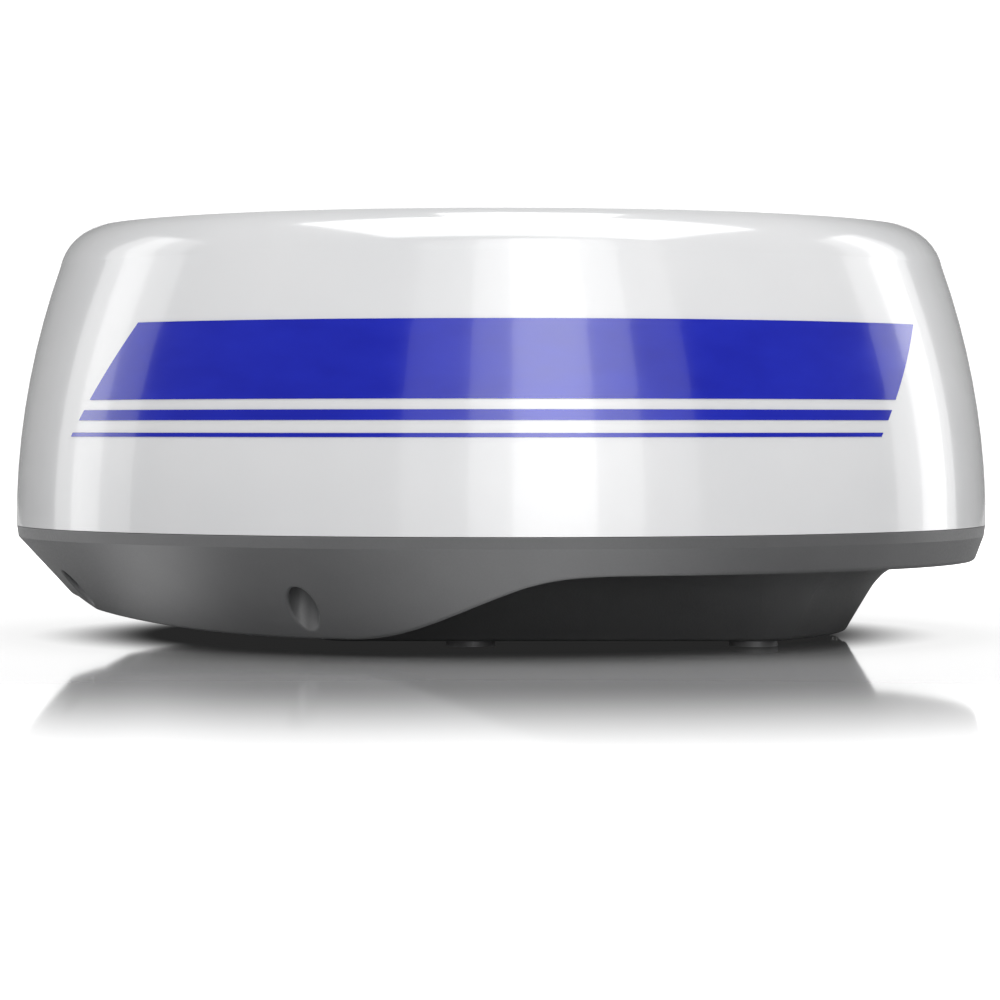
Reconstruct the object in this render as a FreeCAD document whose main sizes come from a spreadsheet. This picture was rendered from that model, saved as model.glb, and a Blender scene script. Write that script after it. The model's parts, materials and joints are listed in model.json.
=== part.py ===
import FreeCAD, Part
import math
import os

import Sketcher
from FreeCAD import Placement, Rotation, Vector

# Radar dome antenna for a boat. Millimetres, +Z up, bow towards -X, port side towards -Y.
# The origin is on the dome's axis, at the level of the surface that the mounting bosses stand on.

SIZES = {
    # outer form
    "dome_radius": 255.0,
    "dome_height": 222.5,
    "seam_height": 58.3,
    "wall": 4.0,
    "shoulder_radius": 232.0,
    "shoulder_height": 192.5,
    "flank_curve": 400.0,
    "shoulder_curve": 28.0,
    "crown_curve": 2400.0,
    # base housing
    "rim_top": 58.0,
    "band_bottom": 52.5,
    "band_radius": 254.0,
    "keel_radius": 219.8,
    "keel_offset": 14.5,
    "chin_height": 8.2,
    "stern_height": 39.5,
    "pedestal_bottom": 3.0,
    "pedestal_half_width": 131.0,
    "pedestal_corner": 18.0,
    "flange_inner": 238.0,
    # fastening of the dome
    "bolt_circle": 230.0,
    "bolt_radius": 3.0,
    "well_radius": 7.25,
    "well_top": 50.0,
    # mounting pattern
    "mount_spacing_x": 141.5,
    "mount_spacing_y": 233.0,
    "mount_centre": 55.35,
    "boss_radius": 12.2,
    "bush_radius": 7.0,
    "mount_thread": 4.0,
    "bush_height": 24.0,
    # drive train
    "plate_bottom": 46.0,
    "plate_top": 49.0,
    "shaft_radius": 8.0,
    "shaft_bore": 5.0,
    "shaft_bottom": 38.0,
    "shaft_top": 92.0,
    "bearing_outer": 16.0,
    "bearing_width": 8.0,
    "lower_bearing": 41.0,
    "upper_bearing": 57.0,
    "belt_bottom": 70.3,
    "belt_top": 79.7,
    "belt_thickness": 2.0,
    "driven_radius": 44.0,
    "motor_pulley_radius": 11.0,
    "idler_radius": 8.0,
    "motor_distance": 95.0,
    "motor_radius": 21.0,
    "running_gap": 0.3,
    # antenna
    "turntable_bottom": 83.0,
    "turntable_top": 87.0,
    "array_half_length": 218.0,
    "array_bottom": 98.0,
    "array_top": 170.0,
    # electronics
    "tub_floor": 7.0,
    "board_bottom": 13.0,
    "board_top": 14.6,
}

BOLT_AZIMUTHS = (21.5, 66.0, 114.0, 158.5)


class Size:
    """A number that remembers how it was worked out, so that it can be bound to the sheet."""

    def __init__(self, text, value):
        self.text = text
        self.value = value

    @staticmethod
    def of(item):
        return item if isinstance(item, Size) else Size(repr(float(item)), float(item))

    def joined(self, sign, other, value):
        return Size("(%s %s %s)" % (self.text, sign, other.text), value)

    def __add__(self, other):
        other = Size.of(other)
        return self.joined("+", other, self.value + other.value)

    def __sub__(self, other):
        other = Size.of(other)
        return self.joined("-", other, self.value - other.value)

    def __mul__(self, other):
        other = Size.of(other)
        return self.joined("*", other, self.value * other.value)

    def __truediv__(self, other):
        other = Size.of(other)
        return self.joined("/", other, self.value / other.value)

    def __neg__(self):
        return Size("(-1 * %s)" % self.text, -self.value)


document = FreeCAD.newDocument("RadarDomeAntenna")
sheet = document.addObject("Spreadsheet::Sheet", "Sizes")
for row, (alias, number) in enumerate(SIZES.items(), 1):
    sheet.set("A%d" % row, alias)
    sheet.set("B%d" % row, str(number))
    sheet.setAlias("B%d" % row, alias)
document.recompute()


def size(alias):
    return Size("Sizes." + alias, float(sheet.get(alias)))


def bind(thing, path, amount):
    """Set one property of an object from the sheet, or from a plain number."""
    amount = Size.of(amount)
    thing.setExpression(path, amount.text)


def place(thing, x=0.0, y=0.0, z=0.0):
    for axis, amount in zip("xyz", (x, y, z)):
        bind(thing, "Placement.Base." + axis, amount)
    return thing


# ---------------------------------------------------------------- primitives and booleans

def cylinder(radius, low, high, x=0.0, y=0.0):
    solid = document.addObject("Part::Cylinder", "Cylinder")
    bind(solid, "Radius", radius)
    bind(solid, "Height", Size.of(high) - low)
    return place(solid, x, y, low)


def box(x_range, y_range, z_range):
    solid = document.addObject("Part::Box", "Box")
    for path, (low, high) in zip(("Length", "Width", "Height"), (x_range, y_range, z_range)):
        bind(solid, path, Size.of(high) - low)
    return place(solid, x_range[0], y_range[0], z_range[0])


def fuse(*solids):
    joined = document.addObject("Part::MultiFuse", "Fuse")
    joined.Shapes = list(solids)
    joined.Refine = True
    return joined


def cut(solid, *tools):
    result = document.addObject("Part::Cut", "Cut")
    result.Base = solid
    result.Tool = tools[0] if len(tools) == 1 else fuse(*tools)
    result.Refine = True
    return result


def ring(outer, inner, low, high, x=0.0, y=0.0):
    hole = cylinder(inner, Size.of(low) - 1, Size.of(high) + 1, x, y)
    return cut(cylinder(outer, low, high, x, y), hole)


def rounded(solid, radius, edges):
    """Round the numbered edges of a solid."""
    result = document.addObject("Part::Fillet", "Rounding")
    result.Base = solid
    result.Edges = [(number, radius, radius) for number in edges]
    return result


def freeform(shape):
    solid = document.addObject("Part::Feature", "Freeform")
    solid.Shape = shape
    return solid


def copies(source, placements):
    """The same solid at several places, kept as separate solids of one piece."""
    document.recompute()
    solids = []
    for placement in placements:
        copy = source.Shape.copy()
        copy.Placement = placement.multiply(copy.Placement)
        solids.append(copy)
    return freeform(Part.makeCompound(solids))


def shifts(points, height=0.0):
    return [Placement(Vector(x, y, height), Rotation()) for x, y in points]


def upright_edges(solid):
    """The numbers of the edges that run straight up."""
    document.recompute()
    numbers = []
    for number, edge in enumerate(solid.Shape.Edges, 1):
        low, high = edge.BoundBox.ZMin, edge.BoundBox.ZMax
        if edge.BoundBox.XLength < 0.01 and edge.BoundBox.YLength < 0.01 and high - low > 0.5:
            numbers.append(number)
    return numbers


def plate(x_range, y_range, z_range, corner):
    slab = box(x_range, y_range, z_range)
    return rounded(slab, corner, upright_edges(slab))


# ---------------------------------------------------------------- sketched bodies

def new_body(label):
    body = document.addObject("PartDesign::Body", "Body")
    body.Label = label
    return body


def new_sketch(body, role):
    plane = next(item for item in body.Origin.OriginFeatures if item.Role == role)
    sketch = body.newObject("Sketcher::SketchObject", "Sketch")
    sketch.AttachmentSupport = (plane, [""])
    sketch.MapMode = "FlatFace"
    return sketch


def pin_point(sketch, geometry, end, point, only_across=False):
    """Tie one end of a line or arc to the sheet, across and, unless told otherwise, upwards."""
    ties = [("DistanceX", -2, point[0]), ("DistanceY", -1, point[1])]
    for kind, axis, amount in ties[:1] if only_across else ties:
        amount = Size.of(amount)
        if abs(amount.value) < 1e-9:
            sketch.addConstraint(Sketcher.Constraint("PointOnObject", geometry, end, axis))
            continue
        number = sketch.addConstraint(Sketcher.Constraint(kind, -1, 1, geometry, end, amount.value))
        sketch.setExpression("Constraints[%d]" % number, amount.text)


def arc_middle(start, finish, radius, side):
    """A point on the arc of this radius from start to finish, bulging to the given side."""
    chord = finish - start
    half = chord.Length / 2
    rise = radius - math.sqrt(radius * radius - half * half)
    across = Vector(chord.y, -chord.x, 0).normalize() * side
    return start + chord * 0.5 + across * rise


def draw_loop(sketch, points, bends=None, domed=()):
    """A closed outline through the points. bends gives {index: (radius, side)} for curved stretches.

    domed lists (arc, corner) pairs: that arc's centre lies on the upright axis, which sets how
    high the corner is.
    """
    bends = bends or {}
    free_corners = [corner for _arc, corner in domed]
    corners = [Vector(Size.of(x).value, Size.of(y).value, 0) for x, y in points]
    for index, start in enumerate(corners):
        finish = corners[(index + 1) % len(corners)]
        if index in bends:
            radius, side = bends[index]
            middle = arc_middle(start, finish, Size.of(radius).value, side)
            curve = Part.Arc(start, middle, finish)
            sketch.addGeometry(curve, False)
        else:
            sketch.addGeometry(Part.LineSegment(start, finish), False)
    first_end = {}
    for index in range(len(corners)):
        first_end[index] = 1
        if index in bends:
            begins = sketch.getPoint(index, 1)
            first_end[index] = 1 if (begins - corners[index]).Length < 1e-6 else 2
    for index in range(len(corners)):
        after = (index + 1) % len(corners)
        pair = Sketcher.Constraint("Coincident", index, 3 - first_end[index], after, first_end[after])
        sketch.addConstraint(pair)
    for index, point in enumerate(points):
        pin_point(sketch, index, first_end[index], point, index in free_corners)
    for index, _corner in domed:
        sketch.addConstraint(Sketcher.Constraint("PointOnObject", index, 3, -2))
    for index, (radius, _side) in bends.items():
        radius = Size.of(radius)
        number = sketch.addConstraint(Sketcher.Constraint("Radius", index, radius.value))
        sketch.setExpression("Constraints[%d]" % number, radius.text)


def turned(label, points, bends=None, domed=()):
    """A turned piece: an outline of (radius, height) points swept about the vertical axis."""
    body = new_body(label)
    sketch = new_sketch(body, "XZ_Plane")
    draw_loop(sketch, points, bends, domed)
    revolution = body.newObject("PartDesign::Revolution", "Revolution")
    revolution.Profile = sketch
    revolution.ReferenceAxis = (sketch, ["V_Axis"])
    revolution.Angle = 360.0
    body.Tip = revolution
    return body


def cast_block(label, points, low, high, plane="XY_Plane"):
    """A piece of constant section: an outline swept from low to high across its plane."""
    body = new_body(label)
    sketch = new_sketch(body, plane)
    bind(sketch, "AttachmentOffset.Base.z", low)
    draw_loop(sketch, points)
    pad = body.newObject("PartDesign::Pad", "Pad")
    pad.Profile = sketch
    bind(pad, "Length", Size.of(high) - low)
    body.Tip = pad
    return body


nodes = []


def node(label, solid):
    solid.Label = label
    nodes.append(solid)
    return solid


# ---------------------------------------------------------------- places shared by several pieces

def bolt_places():
    """The bolt positions, two on each quarter of the bolt circle."""
    radius = SIZES["bolt_circle"]
    places = []
    for azimuth in BOLT_AZIMUTHS:
        angle = math.radians(azimuth)
        for side in (-1, 1):
            places.append((-radius * math.cos(angle), side * radius * math.sin(angle)))
    return places


def mount_places():
    half_x = SIZES["mount_spacing_x"] / 2
    half_y = SIZES["mount_spacing_y"] / 2
    return [(SIZES["mount_centre"] + sx * half_x, sy * half_y) for sx in (-1, 1) for sy in (-1, 1)]


def mirrored(points):
    return [(x, sign * y) for x, y in points for sign in (-1, 1)]


def round_spots(radius, angles):
    return [(radius * math.cos(math.radians(angle)), radius * math.sin(math.radians(angle)))
            for angle in angles]


PLATE_FIXINGS = mirrored([(-135.0, 95.0), (12.0, 110.0), (108.0, 96.0)])
SOCKET_HEIGHT = 19.0
RECESS_WALL = 150.0
RECESS_HALF_WIDTH = 24.0
RECESS_TOP = 32.0
LEDGE = ((168.0, 180.0), (14.0, 24.0), (8.0, 28.0))
RETAINER_SCREWS = mirrored([(174.0, 19.0)])
VENT_PLACE = (92.0, 186.0)


# ---------------------------------------------------------------- radome

def radome_outline():
    """The dome's section, outside then inside: a curved flank, a tight shoulder and a shallow crown."""
    outside = size("dome_radius")
    top = size("dome_height")
    wall = size("wall")
    rim = size("seam_height")
    shoulder_x = size("shoulder_radius")
    shoulder_z = size("shoulder_height")
    crown_x = size("shoulder_radius") - 17.0
    crown_drop = (crown_x * crown_x) / (size("crown_curve") * 2.0)
    points = [
        (outside, rim),
        (shoulder_x, shoulder_z),
        (crown_x, top - crown_drop),
        (0.0, top),
        (0.0, top - wall),
        (crown_x - 1.5, top - crown_drop - wall),
        (shoulder_x - wall, shoulder_z - 0.8),
        (outside - wall, rim + wall),
        (size("flange_inner"), rim + wall),
        (size("flange_inner"), rim),
    ]
    flank = size("flank_curve")
    bend = size("shoulder_curve")
    crown = size("crown_curve")
    bends = {0: (flank, 1), 1: (bend, 1), 2: (crown, 1),
             4: (crown - wall, -1), 5: (bend - wall, -1), 6: (flank - wall, -1)}
    return points, bends


def make_radome():
    points, bends = radome_outline()
    shell = turned("radome_shell", points, bends, domed=((2, 2), (4, 5)))
    rim = size("seam_height")
    boss_top = rim + 22
    extras = []
    for x, y in bolt_places():
        extras.append(cylinder(9.0, rim, boss_top, x, y))
        web = box((size("bolt_circle"), size("dome_radius") - 7.0), (-2.5, 2.5), (rim, boss_top))
        extras.append(copies(web, [Placement(Vector(), Rotation(math.degrees(math.atan2(y, x)), 0, 0))]))
    drilled = [cylinder(4.25, rim - 1, rim + 18, x, y) for x, y in bolt_places()]
    node("radome_cover", cut(fuse(shell, *extras), *drilled))
    insert = ring(4.2, size("bolt_radius") + 0.08, rim + 0.2, rim + 14)
    node("radome_inserts", copies(insert, shifts(bolt_places())))


# ---------------------------------------------------------------- base housing

def hull(inset, low, high):
    """The base's ruled hull: a circle at the rim, a smaller one set towards the stern at the keel."""
    slope = (SIZES["band_radius"] - SIZES["keel_radius"]) / SIZES["band_bottom"]
    shift = SIZES["keel_offset"] / SIZES["band_bottom"]
    rings = []
    for height in (low, high):
        radius = SIZES["keel_radius"] + slope * height - inset
        centre = Vector(SIZES["keel_offset"] - shift * height, 0, height)
        rings.append(Part.Wire(Part.makeCircle(radius, centre, Vector(0, 0, 1))))
    return Part.makeLoft(rings, True, True)


def under_profile(raised):
    """The space under the hull: a low chin forward, an S-curve amidships, a raised flat stern."""
    chin = SIZES["chin_height"] + raised
    stern = SIZES["stern_height"] + raised
    bow_arc = 830.0
    chin_x = -90.0
    bow_x = -270.0
    bow_z = chin + (bow_x - chin_x) ** 2 / (2 * bow_arc)
    middle_x = (bow_x + chin_x) / 2
    middle_z = chin + (middle_x - chin_x) ** 2 / (2 * bow_arc)
    rise_start = Vector(-72.0, 0, chin)
    stern_start = Vector(74.0, 0, stern)
    curve = Part.BSplineCurve()
    knee = Vector(-34.0, 0, chin + 7.6)
    crest = Vector(6.0, 0, stern - 7.4)
    forward = Vector(1, 0, 0)
    curve.interpolate(Points=[rise_start, knee, crest, stern_start],
                      InitialTangent=forward, FinalTangent=forward)
    deep = -40.0
    edges = [
        Part.Arc(Vector(bow_x, 0, bow_z), Vector(middle_x, 0, middle_z), Vector(chin_x, 0, chin)).toShape(),
        Part.makeLine(Vector(chin_x, 0, chin), rise_start),
        curve.toShape(),
        Part.makeLine(stern_start, Vector(300, 0, stern)),
        Part.makeLine(Vector(300, 0, stern), Vector(300, 0, deep)),
        Part.makeLine(Vector(300, 0, deep), Vector(bow_x, 0, deep)),
        Part.makeLine(Vector(bow_x, 0, deep), Vector(bow_x, 0, bow_z)),
    ]
    face = Part.Face(Part.Wire(edges))
    face.translate(Vector(0, -300, 0))
    return face.extrude(Vector(0, 600, 0))


def bow_notch(grown):
    """The shallow notch under the bow, where the hull's lower edge is higher."""
    back = -196.0 + grown
    top = 23.8 + grown
    side = 22.2 + grown
    points = [Vector(back, -98 - grown, -5), Vector(back, -92 - grown, 13 + grown),
              Vector(back, -64 - grown, side), Vector(back, 64 + grown, side),
              Vector(back, 92 + grown, 13 + grown), Vector(back, 98 + grown, -5)]
    edges = [Part.makeLine(points[0], points[1]), Part.makeLine(points[1], points[2]),
             Part.Arc(points[2], Vector(back, 0, top), points[3]).toShape(),
             Part.makeLine(points[3], points[4]), Part.makeLine(points[4], points[5]),
             Part.makeLine(points[5], points[0])]
    return Part.Face(Part.Wire(edges)).extrude(Vector(-90, 0, 0))


def pedestal_outline(growth, height):
    """The pedestal's plan: straight sides, a rounded stern edge, a gently bowed forward edge."""
    corner = SIZES["pedestal_corner"]
    half = SIZES["pedestal_half_width"] - corner
    stern_arc = 215.0 - corner
    stern_centre = -33.0
    bow_arc = 400.0 - corner
    bow_centre = 293.0
    stern_x = stern_centre + math.sqrt(stern_arc ** 2 - half ** 2)
    bow_x = bow_centre - math.sqrt(bow_arc ** 2 - half ** 2)
    aft = [Vector(stern_x, -half, height), Vector(stern_centre + stern_arc, 0, height),
           Vector(stern_x, half, height)]
    fore = [Vector(bow_x, half, height), Vector(bow_centre - bow_arc, 0, height),
            Vector(bow_x, -half, height)]
    skeleton = Part.Wire([Part.Arc(*aft).toShape(), Part.makeLine(aft[2], fore[0]),
                          Part.Arc(*fore).toShape(), Part.makeLine(fore[2], aft[0])])
    return skeleton.makeOffset2D(corner + growth)


def pedestal(levels):
    return Part.makeLoft([pedestal_outline(growth, height) for height, growth in levels], True, False)


def lower_edges(solid, low, high):
    """The edges between these heights, for rounding."""
    return [edge for edge in solid.Edges
            if edge.BoundBox.ZMin >= low - 0.01 and edge.BoundBox.ZMax <= high + 0.01]


def base_outside():
    """The closed outer form of the base, with its rounded lower edges."""
    under = under_profile(0.0)
    form = hull(0.0, 0.0, SIZES["band_bottom"]).cut(under).cut(bow_notch(0.0))
    sharp = [edge for edge in form.Edges
             if edge.BoundBox.ZMax < SIZES["stern_height"] + 0.5 and edge.BoundBox.YLength > 20
             and edge.BoundBox.ZMax > SIZES["stern_height"] - 0.5]
    form = form.makeFillet(3.0, sharp)
    band = Part.makeCone(SIZES["band_radius"], SIZES["band_radius"] + 0.8,
                         SIZES["rim_top"] - SIZES["band_bottom"], Vector(0, 0, SIZES["band_bottom"]))
    bottom = SIZES["pedestal_bottom"]
    foot = pedestal([(bottom, 0.0), (12.0, 5.2), (20.0, 10.0), (28.0, 15.2), (33.0, 20.0),
                     (37.0, 27.0), (40.5, 38.0)])
    foot = foot.makeFillet(2.5, lower_edges(foot, bottom, bottom))
    return form.fuse([band, foot])


def base_inside():
    """The cavity: the hull inset by the wall, the pedestal's tub, kept clear of notch and recess."""
    wall = SIZES["wall"]
    top = SIZES["rim_top"] + 5
    upper = hull(1.5 * wall, 0.0, top).cut(under_profile(wall))
    tub = pedestal([(SIZES["tub_floor"], -1.5 * wall), (26.0, 6.5), (SIZES["stern_height"] + wall + 1, 14.0)])
    space = upper.fuse(tub)
    lip = Part.makeCylinder(300, 20, Vector(0, 0, SIZES["band_bottom"] - 1))
    lip = lip.cut(Part.makeCylinder(SIZES["flange_inner"], 20, Vector(0, 0, SIZES["band_bottom"] - 1)))
    recess = Part.makeBox(80, 2 * (RECESS_HALF_WIDTH + wall), RECESS_TOP + wall,
                          Vector(RECESS_WALL - wall, -RECESS_HALF_WIDTH - wall, 0))
    return space.cut(lip).cut(bow_notch(wall)).cut(recess)


def forward_mark():
    """A plain bar and a long slot sunk into the bow, to show which way the unit faces."""
    skin = hull(0.0, 0.0, SIZES["band_bottom"]).cut(hull(1.3, 0.0, SIZES["band_bottom"]))
    bar = Part.makeBox(60, 16, 3.6, Vector(-270, -8, 42.0))
    slot = Part.makeBox(60, 6, 13.6, Vector(-270, -3, 27.8))
    return skin.common(bar.fuse(slot))


def with_wells(outside):
    """The outer form with its blind bolt wells, each with a rounded mouth."""
    wells = [Part.makeCylinder(SIZES["well_radius"], SIZES["well_top"] + 5, Vector(x, y, -5))
             for x, y in bolt_places()]
    form = outside.cut(wells)
    mouths = []
    for edge in form.Edges:
        middle = edge.valueAt((edge.FirstParameter + edge.LastParameter) / 2)
        reach = min(math.hypot(middle.x - x, middle.y - y) for x, y in bolt_places())
        upright = edge.BoundBox.XLength < 0.01
        if reach < SIZES["well_radius"] + 0.1 and not upright and middle.z < SIZES["well_top"] - 1:
            mouths.append(edge)
    return form.makeFillet(1.6, mouths)


def make_base():
    bosses = [Part.makeCylinder(10.5, SIZES["rim_top"], Vector(x, y, 0)) for x, y in bolt_places()]
    pillars = [Part.makeCylinder(5.0, SIZES["plate_bottom"] - SIZES["pedestal_bottom"] - 2,
                                 Vector(x, y, SIZES["pedestal_bottom"] + 2)) for x, y in PLATE_FIXINGS]
    columns = [Part.makeCylinder(SIZES["boss_radius"], SIZES["bush_height"] + 1,
                                 Vector(x, y, SIZES["pedestal_bottom"])) for x, y in mount_places()]
    space = base_inside().cut(bosses + pillars + columns)
    shell = with_wells(base_outside()).cut(space)
    feet = [Part.makeCylinder(SIZES["boss_radius"], SIZES["pedestal_bottom"] + 1, Vector(x, y, 0))
            for x, y in mount_places()]
    (ledge_x, ledge_y, ledge_z) = LEDGE
    recess = Part.makeBox(80, 2 * RECESS_HALF_WIDTH, RECESS_TOP + 1,
                          Vector(RECESS_WALL, -RECESS_HALF_WIDTH, -1))
    ledges = [Part.makeBox(ledge_x[1] - ledge_x[0], ledge_y[1] - ledge_y[0] + 1, ledge_z[1] - ledge_z[0],
                           Vector(ledge_x[0], side, ledge_z[0]))
              for side in (-ledge_y[1] - 1, ledge_y[0])]
    shell = shell.fuse(feet).cut(recess).fuse(ledges)
    screw_holes = [Part.makeCylinder(2.05, 14, Vector(x, y, SIZES["plate_bottom"] - 12))
                   for x, y in PLATE_FIXINGS]
    retainer_holes = [Part.makeCylinder(1.55, 12, Vector(x, y, ledge_z[0] - 1)) for x, y in RETAINER_SCREWS]
    bush_holes = [Part.makeCylinder(SIZES["bush_radius"], SIZES["bush_height"] + 1, Vector(x, y, -1))
                  for x, y in mount_places()]
    socket_hole = Part.makeCylinder(7.1, 30, Vector(RECESS_WALL - 20, 0, SOCKET_HEIGHT), Vector(1, 0, 0))
    vent_hole = Part.makeCylinder(4.1, 20, Vector(VENT_PLACE[0], VENT_PLACE[1], SIZES["stern_height"] - 5))
    seal_groove = Part.makeCylinder(246.5, 5, Vector(0, 0, 55)).cut(
        Part.makeCylinder(242.0, 5, Vector(0, 0, 55)))
    bolt_holes = [Part.makeCylinder(SIZES["bolt_radius"] + 0.4, 30, Vector(x, y, 40))
                  for x, y in bolt_places()]
    holes = bolt_holes + screw_holes + retainer_holes + bush_holes + [socket_hole, vent_hole, seal_groove]
    shell = shell.cut(holes).cut(forward_mark())
    node("base_housing", freeform(shell))


def make_base_fittings():
    rim = size("seam_height")
    node("rim_seal", ring(246.3, 242.2, 55.0, rim - 0.1))
    thread = size("mount_thread")
    height = size("bush_height")
    bush = cut(cylinder(size("bush_radius"), 0.0, height), cylinder(thread, -1.0, height - 4))
    node("mount_bushes", copies(bush, shifts(mount_places())))

    top = size("well_top")
    washer = ring(6.6, size("bolt_radius") + 0.05, top - 1.2, top)
    node("bolt_washers", copies(washer, shifts(bolt_places())))
    head = cut(cylinder(5.6, top - 7.2, top - 1.2), cylinder(2.6, top - 8, top - 3.6))
    shank = cylinder(size("bolt_radius"), top - 1.6, size("seam_height") + 12)
    node("captive_bolts", copies(fuse(head, shank), shifts(bolt_places())))

    floor = size("stern_height")
    vent = turned("breather_vent", [(0.0, floor - 3.2), (7.2, floor - 3.2), (8.5, floor - 2.0), (8.5, floor),
                                    (4.0, floor), (4.0, floor + 6), (0.0, floor + 6)])
    place(vent, *VENT_PLACE)
    nodes.append(vent)


def make_connector():
    """The socket in the stern recess, with its gasket, screws and the cable's retainer."""
    turn = Placement(Vector(RECESS_WALL, 0, SOCKET_HEIGHT), Rotation(Vector(0, 1, 0), 90))
    flange = fuse(ring(12.0, 5.6, 0.8, 3.6), ring(8.0, 5.6, 3.0, 14.0), cylinder(7.0, -16.0, 2.0))
    pins = [cylinder(0.8, 1.0, 9.0, x, y) for x, y in mirrored([(-2.4, 1.4), (0.0, 2.8), (2.4, 1.4)])]
    spots = mirrored([(-7.4, 7.4), (7.4, 7.4)])
    holes = [cylinder(1.05, 0.0, 5.0, x, y) for x, y in spots]
    node("connector_socket", copies(cut(fuse(flange, *pins), *holes), [turn]))
    gasket = cut(ring(12.0, 7.05, 0.0, 0.8), *[cylinder(1.05, -1.0, 2.0, x, y) for x, y in spots])
    node("socket_gasket", copies(gasket, [turn]))
    screw = fuse(cylinder(1.4, 3.6, 4.8), cylinder(1.0, 0.2, 4.0))
    node("socket_screws", copies(screw, [turn.multiply(spot) for spot in shifts(spots)]))

    (ledge_x, ledge_y, ledge_z) = LEDGE
    bar = plate((ledge_x[0] + 1, ledge_x[1] - 1), (-ledge_y[1] + 0.5, ledge_y[1] - 0.5),
                (ledge_z[0] - 5, ledge_z[0]), 2.0)
    groove = document.addObject("Part::Cylinder", "Groove")
    groove.Radius = 5.5
    groove.Height = 40
    groove.Placement = Placement(Vector(ledge_x[0] - 10, 0, SOCKET_HEIGHT - 7), Rotation(Vector(0, 1, 0), 90))
    holes = [cylinder(1.7, 0.0, ledge_z[0] + 1, x, y) for x, y in RETAINER_SCREWS]
    node("cable_retainer", cut(bar, groove, *holes))
    screw = fuse(cylinder(2.8, ledge_z[0] - 7, ledge_z[0] - 5), cylinder(1.5, ledge_z[0] - 6, ledge_z[0] + 9))
    node("retainer_screws", copies(screw, shifts(RETAINER_SCREWS)))


# ---------------------------------------------------------------- drive

def idler_centre():
    """The idler runs on the back of the belt, halfway along its straight run."""
    gap = SIZES["running_gap"]
    big = SIZES["driven_radius"] + gap
    small = SIZES["motor_pulley_radius"] + gap
    distance = SIZES["motor_distance"]
    normal_x = -(big - small) / distance
    normal_y = math.sqrt(1 - normal_x ** 2)
    reach = SIZES["belt_thickness"] + gap + SIZES["idler_radius"]
    middle_x = (normal_x * big - distance + normal_x * small) / 2
    middle_y = (normal_y * big + normal_y * small) / 2
    return middle_x + normal_x * reach, middle_y + normal_y * reach


def belt_loop(offset):
    """The closed face inside a loop round both pulleys, at this distance from their rims."""
    big = SIZES["driven_radius"] + offset
    small = SIZES["motor_pulley_radius"] + offset
    distance = SIZES["motor_distance"]
    normal_x = -(big - small) / distance
    normal_y = math.sqrt(1 - normal_x ** 2)
    height = SIZES["belt_bottom"]

    def on(radius, centre, side):
        return Vector(centre + normal_x * radius, side * normal_y * radius, height)

    big_arc = Part.Arc(on(big, 0, -1), Vector(big, 0, height), on(big, 0, 1)).toShape()
    small_arc = Part.Arc(on(small, -distance, 1), Vector(-distance - small, 0, height),
                         on(small, -distance, -1)).toShape()
    loop = Part.Wire([big_arc, Part.makeLine(on(big, 0, 1), on(small, -distance, 1)), small_arc,
                      Part.makeLine(on(small, -distance, -1), on(big, 0, -1))])
    return Part.Face(loop)


def toothed_pulley(radius, teeth, bore, low, high):
    """A pulley with a flange at each end and a groove between each two teeth."""
    gap = SIZES["running_gap"]
    rim = low + 1
    core = cylinder(radius, rim, high - 1)
    grooves = [(radius * math.cos(2 * math.pi * n / teeth), radius * math.sin(2 * math.pi * n / teeth))
               for n in range(teeth)]
    slot = cylinder(0.8, rim + gap, high - 1 - gap)
    flanges = [cylinder(radius + 3, low, rim), cylinder(radius + 3, high - 1, high)]
    body = cut(core, copies(slot, shifts(grooves)))
    return cut(fuse(body, *flanges), cylinder(bore, low - 1, high + 1))


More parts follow.
